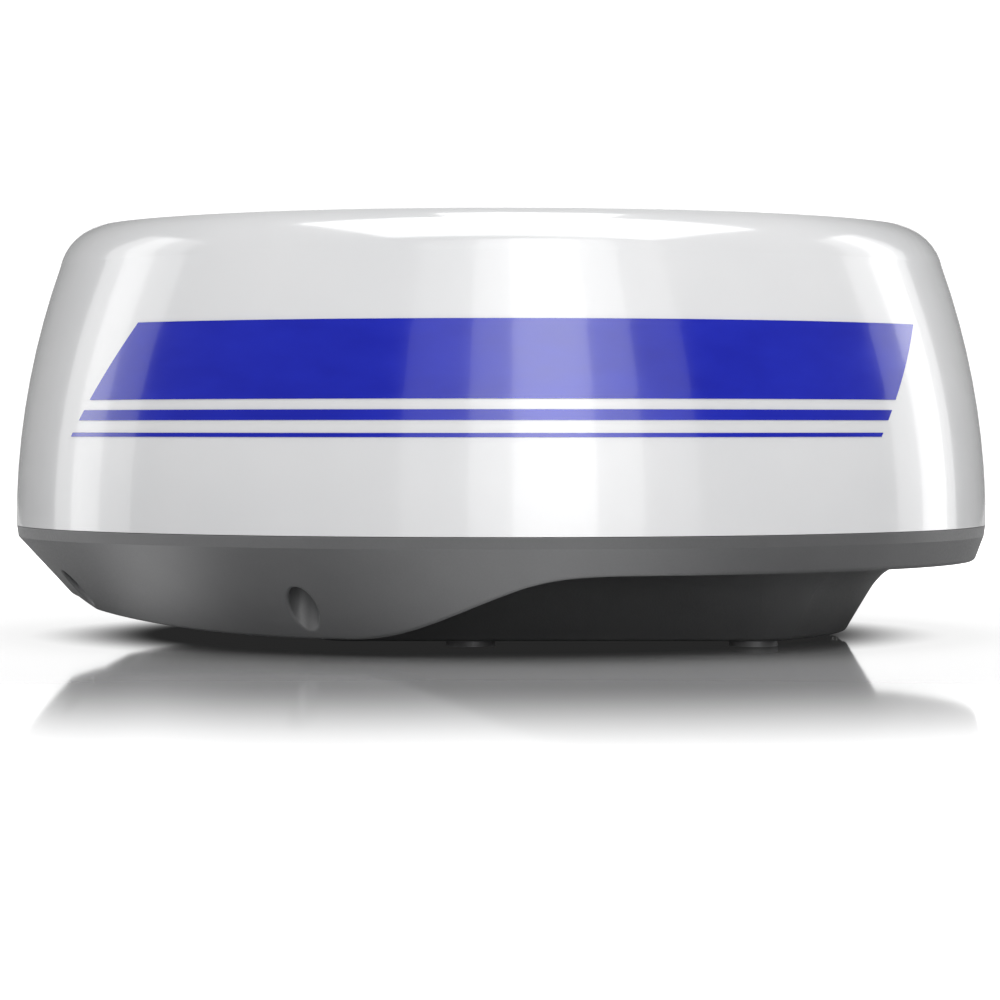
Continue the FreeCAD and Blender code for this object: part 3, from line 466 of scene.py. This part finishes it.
BELT_LOW, BELT_HIGH = (1000 * corner.z for corner in map(Vector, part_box("drive_belt")))
BIG_RADIUS = 44.0
SMALL_RADIUS = 11.0
PULLEY_DISTANCE = 95.0
BIG_TEETH = 60
SMALL_TEETH = 15
BELT_GAP = 0.3
BELT_THICKNESS = 2.0
BELT_WRAP = math.acos((SMALL_RADIUS - BIG_RADIUS) / PULLEY_DISTANCE)    # where the belt leaves the big pulley
BELT_RUN = math.sqrt(PULLEY_DISTANCE ** 2 - (BIG_RADIUS - SMALL_RADIUS) ** 2)


def belt_path(step):
    """Points, outward normals and distances round the belt's pulleys, from the driven pulley's stern side."""
    half = BIG_RADIUS * BELT_WRAP + BELT_RUN + SMALL_RADIUS * (math.pi - BELT_WRAP)
    count = int(2 * half / step)
    for k in range(count):
        along = 2 * half * k / count
        mirrored = along > half
        part = 2 * half - along if mirrored else along
        radius, centre, straight = BIG_RADIUS, 0.0, 0.0
        if part < BIG_RADIUS * BELT_WRAP:
            angle = part / BIG_RADIUS
        elif part < BIG_RADIUS * BELT_WRAP + BELT_RUN:
            angle = BELT_WRAP
            straight = part - BIG_RADIUS * BELT_WRAP
        else:
            radius, centre = SMALL_RADIUS, -PULLEY_DISTANCE
            angle = BELT_WRAP + (part - BIG_RADIUS * BELT_WRAP - BELT_RUN) / SMALL_RADIUS
        normal = Vector((math.cos(angle), math.sin(angle), 0.0))
        forward = Vector((-math.sin(angle), math.cos(angle), 0.0))
        point = Vector((centre, 0.0, 0.0)) + normal * radius + forward * straight
        if mirrored:
            point.y, normal.y = -point.y, -normal.y
        yield point, normal, part


def tooth_centres():
    """Distances from the driven pulley's stern side to each belt tooth on one half of the loop."""
    big_pitch = 2 * math.pi / BIG_TEETH
    small_pitch = 2 * math.pi / SMALL_TEETH
    on_big = [BIG_RADIUS * big_pitch * k for k in range(int(BELT_WRAP / big_pitch) + 1)]
    start = BIG_RADIUS * BELT_WRAP + BELT_RUN
    first = math.ceil(BELT_WRAP / small_pitch)
    last = SMALL_TEETH // 2
    on_small = [start + SMALL_RADIUS * (small_pitch * k - BELT_WRAP) for k in range(first, last + 1)]
    gaps = round((on_small[0] - on_big[-1]) / (BIG_RADIUS * big_pitch))
    between = [on_big[-1] + (on_small[0] - on_big[-1]) * k / gaps for k in range(1, gaps)]
    return on_big + between + on_small


def make_belt(material):
    """The toothed belt: rounded teeth that sit in the pulleys' grooves, and a back with broken edges."""
    centres = tooth_centres()
    step = 0.45
    tooth_height = 0.75
    tooth_half = 0.75
    inset = 0.25
    back = BELT_GAP + BELT_THICKNESS
    columns = []
    mesh = bmesh.new()
    for point, normal, part in belt_path(step):
        reach = min(abs(part - centre) for centre in centres)
        rise = tooth_height * math.sqrt(max(0.0, 1 - (reach / tooth_half) ** 2))
        section = ((BELT_GAP - rise, BELT_LOW), (BELT_GAP - rise, BELT_HIGH),
                   (back - inset, BELT_HIGH), (back, BELT_HIGH - inset),
                   (back, BELT_LOW + inset), (back - inset, BELT_LOW))
        columns.append([mesh.verts.new(point + normal * out + Vector((0.0, 0.0, height)))
                        for out, height in section])
    for index, column in enumerate(columns):
        after = columns[(index + 1) % len(columns)]
        for k in range(len(column)):
            following = (k + 1) % len(column)
            mesh.faces.new((column[k], column[following], after[following], after[k]))
    belt = fitted(mesh, "toothed_belt", material, "base")
    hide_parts("drive_belt")


def make_motor_details():
    """Cooling ribs round the motor's can, a seam ring at each end and the plug on its terminal box."""
    centre = (-PULLEY_DISTANCE, 0.0)
    ribs = bmesh.new()
    rib_count = 36
    rib_half = 0.55
    rib_near, rib_far = 20.7, 22.1
    rib_low, rib_high = 21.0, 42.0
    bare_angle = 0.42       # radians to each side of the terminal box, where there are no ribs
    for k in range(rib_count):
        angle = 2 * math.pi * k / rib_count
        if abs(angle - math.pi) < bare_angle:
            continue
        rib = bmesh.new()
        add_block(rib, (rib_near, -rib_half, rib_low), (rib_far, rib_half, rib_high), 0.25)
        rib.transform(Matrix.Translation((centre[0], centre[1], 0)) @ Matrix.Rotation(angle, 4, "Z"))
        merge(ribs, rib)
    inner, outer = 20.9, 21.5
    for low, high, slope in ((16.6, 19.4, 0.3), (43.2, 44.8, 0.2)):
        seam_ring = [(inner, low), (outer, low + slope), (outer, high - slope), (inner, high)]
        add_turned(ribs, seam_ring, centre, 64)
    fitted(ribs, "motor_ribs", SLOT_LOOKS["motor_paint"], "base")

    plug = bmesh.new()
    face = -123.6
    add_block(plug, (face, -4.4, 20.2), (face + 2.8, 4.4, 27.8), 0.5)
    way_pitch = 2.0
    way_half = 0.6
    for k in range(4):
        middle = (k - 1.5) * way_pitch
        add_block(plug, (face - 0.6, middle - way_half, 22.4), (face + 0.4, middle + way_half, 25.6), 0.15)
    fitted(plug, "motor_plug", SLOT_LOOKS["black_plastic"], "base")


# ------------------------------------------------------------------ electronics

BOARD_TOP = 1000 * Vector(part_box("main_board")[1]).z
FINE_PITCH = 0.65
MIDDLE_PITCH = 0.8
COARSE_PITCH = 1.27
PIN_PITCH = 2.54
# a gull-wing lead's shoulder, foot and drop: (near, far) out from the package, (low, high) over the board
LEAD_BLOCKS = (((-0.1, 0.6), (0.5, 0.7)), ((0.5, 1.3), (0.02, 0.2)), ((0.5, 0.7), (0.1, 0.7)))


def add_chip(bodies, leads, centre, size, height, pitch, all_round=True):
    """A moulded package with drawn-in sides, and gull-wing leads on two or four of them."""
    x, y = centre
    half_x, half_y = size[0] / 2, size[1] / 2
    add_block(bodies, (x - half_x, y - half_y, BOARD_TOP + 0.25),
              (x + half_x, y + half_y, BOARD_TOP + height), 0.18, 0.3)
    sides = [(half_x, half_y, 0.0), (half_x, half_y, math.pi)]
    if all_round:
        sides += [(half_y, half_x, math.pi / 2), (half_y, half_x, -math.pi / 2)]
    for out, along, turn in sides:
        count = int(2 * (along - 1.0) / pitch)
        for k in range(count):
            across = (k - (count - 1) / 2) * pitch
            lead = bmesh.new()
            for (near, far), (low, high) in LEAD_BLOCKS:
                add_block(lead, (out + near, across - pitch / 4, BOARD_TOP + low),
                          (out + far, across + pitch / 4, BOARD_TOP + high))
            lead.transform(Matrix.Translation((x, y, 0)) @ Matrix.Rotation(turn, 4, "Z"))
            merge(leads, lead)


def add_header(bodies, leads, low, count, lengthwise=False):
    """A shrouded header: an open box round a row of square pins, fore and aft when lengthwise."""
    end = 1.2
    length = count * PIN_PITCH + 2 * end
    width = 6.0
    size = (length, width) if lengthwise else (width, length)
    x, y = low
    wall = 0.8
    pin_half = 0.32
    top = BOARD_TOP + 8.5
    add_block(bodies, (x, y, BOARD_TOP), (x + size[0], y + size[1], BOARD_TOP + 1.6), 0.2)
    for near, far in (((0, 0), (size[0], wall)), ((0, size[1] - wall), size),
                      ((0, 0), (wall, size[1])), ((size[0] - wall, 0), size)):
        add_block(bodies, (x + near[0], y + near[1], BOARD_TOP + 1.2), (x + far[0], y + far[1], top), 0.15)
    for k in range(count):
        offset = end + PIN_PITCH * (k + 0.5)
        pin_x, pin_y = (x + offset, y + width / 2) if lengthwise else (x + width / 2, y + offset)
        add_block(leads, (pin_x - pin_half, pin_y - pin_half, BOARD_TOP + 1.0),
                  (pin_x + pin_half, pin_y + pin_half, BOARD_TOP + 7.4), 0.1)


def add_chip_resistor(bodies, leads, centre, turned_round):
    """A small two-ended part with tinned ends."""
    x, y = centre
    half_length, half_width, end_half = 0.62, 0.372, 0.3
    half_x, half_y = (half_length, half_width) if turned_round else (half_width, half_length)
    add_block(bodies, (x - half_x, y - half_y, BOARD_TOP), (x + half_x, y + half_y, BOARD_TOP + 0.55), 0.08)
    for shift in (-0.8, 0.8):
        end_x, end_y = (x + shift, y) if turned_round else (x, y + shift)
        add_block(leads, (end_x - end_half, end_y - end_half, BOARD_TOP),
                  (end_x + end_half, end_y + end_half, BOARD_TOP + 0.58), 0.06)


def resistor_rows(bodies, leads, low, high, pitch_x, pitch_y, seed):
    """Rows of small parts, with gaps here and there."""
    chance = random.Random(seed)
    filled = 0.72       # share of the places that hold a part
    y = low[1]
    while y < high[1]:
        x = low[0]
        turned_round = chance.random() < 0.5
        while x < high[0]:
            if chance.random() < filled:
                add_chip_resistor(bodies, leads, (x, y), turned_round)
            x += pitch_x
        y += pitch_y


def make_main_board_parts():
    """Processors, memory, drivers, headers, crystals and rows of small parts."""
    bodies = bmesh.new()
    leads = bmesh.new()
    add_chip(bodies, leads, (-42.0, -22.0), (20.0, 20.0), 1.6, MIDDLE_PITCH)
    add_chip(bodies, leads, (-44.0, -60.0), (14.0, 14.0), 1.4, FINE_PITCH)
    for y in (-40.0, -66.0):
        add_chip(bodies, leads, (-17.0, y), (8.0, 18.0), 1.2, MIDDLE_PITCH, False)
    for x in (-60.0, -46.0, -32.0):
        add_chip(bodies, leads, (x, 12.0), (4.0, 5.0), 1.5, COARSE_PITCH, False)
    add_chip(bodies, leads, (16.0, 40.0), (6.0, 10.0), 1.6, COARSE_PITCH, False)
    add_header(bodies, leads, (20.5, 52.0), 8)
    add_header(bodies, leads, (20.5, -52.0), 10)
    add_header(bodies, leads, (-52.0, -88.0), 9, lengthwise=True)
    resistor_rows(bodies, leads, (-63.0, -46.0), (-28.0, -34.0), 2.9, 2.7, 3)
    resistor_rows(bodies, leads, (-4.0, -78.0), (16.0, -24.0), 3.1, 3.4, 5)
    resistor_rows(bodies, leads, (-62.0, 18.5), (-26.0, 23.5), 2.9, 2.7, 7)
    resistor_rows(bodies, leads, (10.0, 56.0), (18.0, 76.0), 2.9, 3.2, 11)
    for y in (-84.0, -77.5):
        add_block(leads, (8.0, y, BOARD_TOP), (18.5, y + 4.2, BOARD_TOP + 3.4), 1.2)
    fitted(bodies, "main_board_parts", SLOT_LOOKS["black_plastic"], "base")
    fitted(leads, "main_board_leads", SLOT_LOOKS["can_steel"], "base")


def make_power_board_parts():
    """Transformer, finned heat sink with its transistors, terminal block and small parts."""
    bodies = bmesh.new()
    leads = bmesh.new()

    core_middle = Vector((98.0, -27.0))
    core_near = core_middle - Vector((14.0, 13.0))
    core_far = core_middle + Vector((14.0, 13.0))
    limb_width = 5.0
    for y in (core_near.y, core_far.y - limb_width):
        add_block(bodies, (core_near.x, y, BOARD_TOP), (core_far.x, y + limb_width, 33.0), 0.6)
    for low, high in ((BOARD_TOP, 18.5), (28.5, 33.6)):
        add_block(bodies, (*core_near, low), (*core_far, high), 0.6)

    way_pitch = 7.0
    screw = [(0.0, 25.1), (2.0, 25.1), (2.4, 24.8), (2.4, 24.0), (0.0, 24.0)]
    for k in range(4):
        middle = 7.2 + way_pitch * k
        add_block(bodies, (111.0, middle - 3.2, BOARD_TOP), (121.0, middle + 3.2, 25.0), 0.5, 0.4)
        add_turned(leads, screw, (116.0, middle), 20)

    add_chip(bodies, leads, (66.0, 50.0), (7.0, 10.0), 1.6, COARSE_PITCH, False)
    add_chip(bodies, leads, (82.0, 50.0), (4.0, 5.0), 1.5, COARSE_PITCH, False)
    resistor_rows(bodies, leads, (64.0, 0.0), (76.0, 40.0), 3.0, 3.4, 13)
    resistor_rows(bodies, leads, (90.0, 44.0), (106.0, 56.0), 3.0, 3.0, 17)

    sink_face = 71.4
    for y in (-50.0, -36.0):
        add_block(bodies, (sink_face, y, 17.5), (sink_face + 4.2, y + 10.0, 31.0), 0.4)
        for k in range(3):
            leg = y + 2.4 + 2.5 * k
            add_block(leads, (sink_face + 1.6, leg, BOARD_TOP), (sink_face + 2.2, leg + 0.8, 18.0))
    fitted(bodies, "power_board_parts", SLOT_LOOKS["black_plastic"], "base")
    fitted(leads, "power_board_leads", SLOT_LOOKS["can_steel"], "base")

    sink = bmesh.new()
    sink_foot = BOARD_TOP + 0.4
    sink_top = 38.0
    fin_pitch = 4.1
    fin_thickness = 1.2
    add_block(sink, (sink_face - 3.0, -56.0, sink_foot), (sink_face, -22.0, sink_top), 0.3)
    for k in range(9):
        y = -55.6 + fin_pitch * k
        add_block(sink, (56.5, y, sink_foot), (69.0, y + fin_thickness, sink_top), 0.25)
    fitted(sink, "heat_sink", SLOT_LOOKS["aluminium"], "base")

    winding = bmesh.new()
    wire_pitch = 0.74
    wire = ((7.2, 0.3), (8.0, 0.0), (8.4, 0.33), (8.0, 0.7))
    for k in range(13):
        low = 18.6 + wire_pitch * k
        add_turned(winding, [(radius, low + rise) for radius, rise in wire], core_middle, 40)
    fitted(winding, "transformer_winding", COPPER, "base")


def make_choke():
    """A powdered-iron ring wound with enamelled wire."""
    low, high = (1000 * Vector(corner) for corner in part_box("power_choke"))
    centre = (low + high) / 2
    thick = (high.z - low.z) / 2
    radius = (high.x - low.x) / 2 - thick
    wire_diameter = 1.4
    core = bmesh.new()
    add_torus(core, centre, Matrix.Identity(3), radius, thick - wire_diameter, 64, 20)
    ring = fitted(core, "choke_core", SLOT_LOOKS["component_black"], "base")

    wire = bmesh.new()
    turns = 21
    first, sweep = 35.0, 290.0
    for k in range(turns):
        angle = math.radians(first + sweep * k / (turns - 1))
        place = centre + radius * Vector((math.cos(angle), math.sin(angle), 0.0))
        upright = Matrix.Rotation(angle, 3, "Z") @ Matrix.Rotation(math.radians(90.0), 3, "X")
        add_torus(wire, place, upright, thick - 0.75, wire_diameter / 2, 28, 8)
    fitted(wire, "choke_winding", COPPER, "base")
    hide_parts("power_choke")


def make_capacitors():
    """Sleeved cans with a rolled groove at the foot and a scored top."""
    low, high = (1000 * Vector(corner).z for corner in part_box("capacitors"))
    wide, groove = 7.95, 7.3
    sleeve = [(0.0, low), (7.6, low), (wide, low + 0.5), (wide, low + 2.4), (groove, low + 3.0),
              (groove, low + 3.5), (wide, low + 4.1), (wide, high - 0.9), (7.5, high - 0.1),
              (6.7, high), (6.5, high - 0.5), (0.0, high - 0.5)]
    top_radius = 6.3
    score_half = 0.35
    rim = [(top_radius * math.cos(math.radians(turn)), top_radius * math.sin(math.radians(turn)))
           for turn in range(4, 90, 5)]
    sleeves = bmesh.new()
    tops = bmesh.new()
    x = 52.0
    for y in (36.0, 16.0, -4.0):
        add_turned(sleeves, sleeve, (x, y), 56)
        for quarter in range(4):
            wedge = bmesh.new()
            floor = [wedge.verts.new((*corner, high - 0.52)) for corner in [(score_half, score_half)] + rim]
            made = bmesh.ops.extrude_face_region(wedge, geom=[wedge.faces.new(floor)])
            for item in made["geom"]:
                if isinstance(item, bmesh.types.BMVert):
                    item.co.z = high - 0.3
            wedge.transform(Matrix.Translation((x, y, 0)) @ Matrix.Rotation(quarter * math.pi / 2, 4, "Z"))
            merge(tops, wedge)
    cans = fitted(sleeves, "capacitor_sleeves", SLOT_LOOKS["component_black"], "base")
    fitted(tops, "capacitor_tops", SLOT_LOOKS["aluminium"], "base")
    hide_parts("capacitors")


# ------------------------------------------------------------------ antenna details

def make_antenna_details():
    """Cooling fins on the transceiver's lid and the feed guide from it to the radiating panel."""
    lid_low, lid_high = (1000 * Vector(corner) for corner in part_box("transceiver_lid"))
    fins = bmesh.new()
    margin = Vector((8.0, 12.0))
    count = 13
    half_thickness = 0.8
    first = lid_low.y + margin.y
    span = lid_high.y - lid_low.y - 2 * margin.y
    for k in range(count):
        y = first + span * k / (count - 1)
        add_block(fins, (lid_low.x + margin.x, y - half_thickness, lid_high.z - 0.4),
                  (lid_high.x - margin.x, y + half_thickness, lid_high.z + 9.0), 0.35)
    fitted(fins, "transceiver_fins", SLOT_LOOKS["transceiver_alloy"], "antenna")

    guide = bmesh.new()
    frame_face = 1000 * Vector(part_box("panel_frame")[0]).x + 3.0
    housing_face = 1000 * Vector(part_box("transceiver_housing")[0]).x
    middle = 111.0
    flange = 2.2
    add_block(guide, (frame_face, -7.0, middle - 4.0), (housing_face, 7.0, middle + 4.0), 0.8)
    for x in (frame_face, housing_face - flange):
        add_block(guide, (x, -13.0, middle - 8.5), (x + flange, 13.0, middle + 8.5), 0.9)
    head = [(0.0, 0.0), (1.5, 0.0), (1.7, 0.3), (1.7, 1.7), (1.5, 2.0), (0.0, 2.0)]
    for y in (-10.2, 10.2):
        for z in (middle - 5.8, middle + 5.8):
            for x in (frame_face + 2.0, housing_face - 4.0):
                stud = bmesh.new()
                add_turned(stud, head, steps=20)
                stud.transform(Matrix.Translation((x, y, z)) @ Matrix.Rotation(math.pi / 2, 4, "Y"))
                merge(guide, stud)
    fitted(guide, "feed_guide", SLOT_LOOKS["aluminium"], "antenna")


# ------------------------------------------------------------------ stage

def area_light(name, place, aim, size, brightness, gloss_only=False):
    """A rectangular softbox. Brightness is its radiance: 1 shows as white."""
    data = bpy.data.lights.new(name, "AREA")
    data.shape = "RECTANGLE"
    data.size, data.size_y = size
    data.energy = brightness * math.pi * size[0] * size[1]
    thing = bpy.data.objects.new(name, data)
    bpy.context.collection.objects.link(thing)
    thing.location = place
    thing.rotation_euler = (Vector(aim) - Vector(place)).to_track_quat("-Z", "Y").to_euler()
    thing.visible_diffuse = not gloss_only
    return thing


def softbox(name, azimuth, half_angle, distance, heights, brightness, gloss_only=False):
    """An upright softbox facing the object. Azimuth 0 is on the camera's side, positive to its right."""
    angle = math.radians(azimuth)
    middle = (heights[0] + heights[1]) / 2
    place = (distance * math.sin(angle), -distance * math.cos(angle), middle)
    width = 2 * distance * math.tan(math.radians(half_angle))
    size = (width, heights[1] - heights[0])
    return area_light(name, place, (0.0, 0.0, middle), size, brightness, gloss_only)


def only_on(light, node):
    """Let a light reach one piece only, and be shaded by it only."""
    lit = bpy.data.collections.new(light.name + "_reach")
    lit.objects.link(frame["nodes"][node])
    light.light_linking.receiver_collection = lit
    light.light_linking.blocker_collection = lit


def stage_panel(name, size, place, turn, material):
    """A flat panel of the stage, which isn't part of the object."""
    panel = bmesh.new()
    bmesh.ops.create_grid(panel, x_segments=2, y_segments=2, size=0.5)
    panel.transform(Matrix.Translation(place) @ turn @ Matrix.Diagonal((size[0], size[1], 1.0, 1.0)))
    thing = object_from(panel, name, material)


def glowing(name, roughness, strength, base):
    """A neutral surface of this brightness that also gives white light."""
    white = (1.0, 1.0, 1.0, 1.0)
    return Look(name, roughness, Emission_Strength=strength, Emission_Color=white,
                Base_Color=(base, base, base, 1.0))


# how bright the surroundings are: as light, in reflections, and to look at
SURROUND_LIGHT = 0.55
SURROUND_GLOSS = 0.24
SURROUND_SEEN = 0.68


def make_studio_air():
    """The surroundings: pale grey to look at, soft light, darker in reflections."""
    world = bpy.data.worlds.new("studio")
    bpy.context.scene.world = world
    world.use_nodes = True
    tree = world.node_tree
    path = tree.nodes.new("ShaderNodeLightPath")
    in_gloss = tree.nodes.new("ShaderNodeMix")
    in_view = tree.nodes.new("ShaderNodeMix")
    in_gloss.inputs["A"].default_value = SURROUND_LIGHT
    in_gloss.inputs["B"].default_value = SURROUND_GLOSS
    in_view.inputs["B"].default_value = SURROUND_SEEN
    background = tree.nodes["Background"]
    background.inputs["Color"].default_value = (1.0, 1.0, 1.0, 1.0)
    for source, target in ((path.outputs["Is Glossy Ray"], in_gloss.inputs["Factor"]),
                           (path.outputs["Is Camera Ray"], in_view.inputs["Factor"]),
                           (in_gloss.outputs["Result"], in_view.inputs["A"]),
                           (in_view.outputs["Result"], background.inputs["Strength"])):
        tree.links.new(source, target)


def make_floor_look():
    """Polished and pale, with a soft painted shadow close under the object, painted light pools that only
    reflections see, and a plain grey far out.
    """
    floor = glowing("stage_floor", 0.05, 0.0, 0.7)
    distance = floor.node("ShaderNodeVectorMath", {0: floor.place}, operation="LENGTH").outputs["Value"]

    def fade(amount, near, far, low=0.0, high=1.0):
        """Go smoothly from low to high as the amount goes from near to far."""
        limits = {"Value": amount, "From Min": near, "From Max": far, "To Min": low, "To Max": high}
        return floor.node("ShaderNodeMapRange", limits, interpolation_type="SMOOTHSTEP").outputs["Result"]

    def combined(operation, first, second=0.0):
        return floor.node("ShaderNodeMath", {0: first, 1: second}, operation=operation).outputs["Value"]

    split = floor.node("ShaderNodeSeparateXYZ", {0: floor.place}).outputs
    glossy = floor.node("ShaderNodeLightPath").outputs["Is Glossy Ray"]

    # painted light: what the base's underside sees in the floor, a glowing pool beside it and one off the
    # bow, which only reflections see
    azimuth = combined("ARCTAN2", split["X"], combined("MULTIPLY", split["Y"], -1.0))
    painted_light_pools = 0.0
    for middle, half_width, strength in ((6.0, 34.0, 2.3), (-54.0, 20.0, 1.5)):
        off = combined("ABSOLUTE", combined("SUBTRACT", azimuth, math.radians(middle)))
        painted_light_pools = combined("ADD", fade(off, 0.0, math.radians(half_width), strength, 0.0), painted_light_pools)
    ring = combined("MULTIPLY", fade(distance, 0.20, 0.25), fade(distance, 0.32, 0.45, 1.0, 0.0))
    painted_light_pools = combined("MULTIPLY", painted_light_pools, ring)

    # glowing evenly further out but fading to none near the object, so the floor close round it is darker, a
    # painted shade; reflections see it dimmer further out
    even = fade(distance, 0.40, 0.86)
    dimming = fade(distance, 0.9, 1.6, 0.0, 0.72)
    gloss_change = combined("SUBTRACT", painted_light_pools, combined("MULTIPLY", even, dimming))
    glow = combined("ADD", even, combined("MULTIPLY", glossy, gloss_change))
    floor.tree.links.new(glow, floor.shader.inputs["Emission Strength"])

    # painted contact shadow: a dim dark glow mixed into the floor under the base, whose foot lies a little
    # towards the bow
    painted_shadow = floor.node("ShaderNodeEmission", {"Strength": 0.02}).outputs["Emission"]
    from_foot = floor.node("ShaderNodeVectorMath", {0: floor.place, 1: (0.008, 0.0, 0.0)}, operation="ADD")
    reach = floor.node("ShaderNodeVectorMath", {0: from_foot.outputs["Vector"]}, operation="LENGTH")
    clear = fade(reach.outputs["Value"], 0.175, 0.245)
    polished = floor.node("ShaderNodeMixShader", {0: clear, 1: painted_shadow, 2: floor.shader.outputs["BSDF"]})

    # far out the floor is as plain as the surroundings, except behind the object
    nearer = combined("MINIMUM", split["Y"], 0.0)
    across = floor.node("ShaderNodeCombineXYZ", {"X": split["X"], "Y": nearer}).outputs["Vector"]
    outward = floor.node("ShaderNodeVectorMath", {0: across}, operation="LENGTH").outputs["Value"]
    gloss_drop = combined("MULTIPLY", glossy, SURROUND_SEEN - SURROUND_GLOSS)
    dimmed = combined("SUBTRACT", SURROUND_SEEN, gloss_drop)
    plain = floor.node("ShaderNodeEmission", {"Strength": dimmed}).outputs["Emission"]
    layers = {0: fade(outward, 1.3, 1.5), 1: polished.outputs["Shader"], 2: plain}
    surface = floor.node("ShaderNodeMixShader", layers)
    output = next(node for node in floor.tree.nodes if node.type == "OUTPUT_MATERIAL")
    floor.tree.links.new(surface.outputs["Shader"], output.inputs["Surface"])
    return floor


def make_stage():
    """A polished pale floor, a white backdrop and soft light from every side."""
    white_floor = make_floor_look()
    stage_panel("stage_floor", (12.0, 12.0), (0.0, 0.0, 0.0), Matrix.Identity(4), white_floor.material)

    upright = Matrix.Rotation(math.radians(90.0), 4, "X")
    backdrop = glowing("stage_backdrop", 0.9, 1.15, 0.0)
    stage_panel("stage_backdrop", (1.5, 0.9), (0.0, 3.2, 0.45), upright, backdrop.material)

    make_studio_air()
    # each softbox has its azimuth, half angle, distance, lowest and highest edge, and brightness
    tall = (0.0, 2.6)
    softbox("key_core", 11.5, 9.0, 2.4, tall, 2.4)
    softbox("key_middle", 12.0, 19.0, 2.45, tall, 1.8, True)
    softbox("key_outer", 11.0, 33.0, 2.5, tall, 0.9, True)
    low = (-0.1, 1.5)
    softbox("left_narrow", -106.0, 6.0, 1.8, low, 1.2)
    softbox("left_wide", -105.0, 16.0, 1.85, low, 1.1, True)
    softbox("right_narrow", 114.0, 6.0, 1.8, low, 1.6)
    softbox("right_wide", 112.0, 14.0, 1.85, low, 1.2, True)
    area_light("top_gloss", (0.2, -0.6, 1.7), (0.2, -0.6, 0.0), (2.1, 1.45), 4.5, True)
    area_light("top_softbox", (0.08, 0.0, 1.5), (0.0, 0.0, 0.2), (0.9, 0.5), 4.0)
    only_on(softbox("bow_bounce", -62.0, 24.0, 1.2, (0.0, 0.7), 1.6), "base_housing")


def make_camera():
    """A 135 mm lens two metres away, level with the middle of the dome and tipped slightly down."""
    data = bpy.data.cameras.new("camera")
    data.lens = 135.0
    data.sensor_width = 36.0
    data.clip_end = 50.0
    tipped_down = 1.117
    camera = bpy.data.objects.new("camera", data)
    bpy.context.collection.objects.link(camera)
    camera.location = (-0.0006, -1.989, 0.1093)
    camera.rotation_euler = (math.radians(90.0 - tipped_down), 0.0, 0.0)
    bpy.context.scene.camera = camera


make_camera()
make_stage()
dress_frame()
make_stripes()
make_belt(SLOT_LOOKS["rubber_black"])
make_motor_details()
make_main_board_parts()
make_power_board_parts()
make_choke()
make_capacitors()
make_antenna_details()

bpy.context.scene.view_settings.view_transform = "Standard"
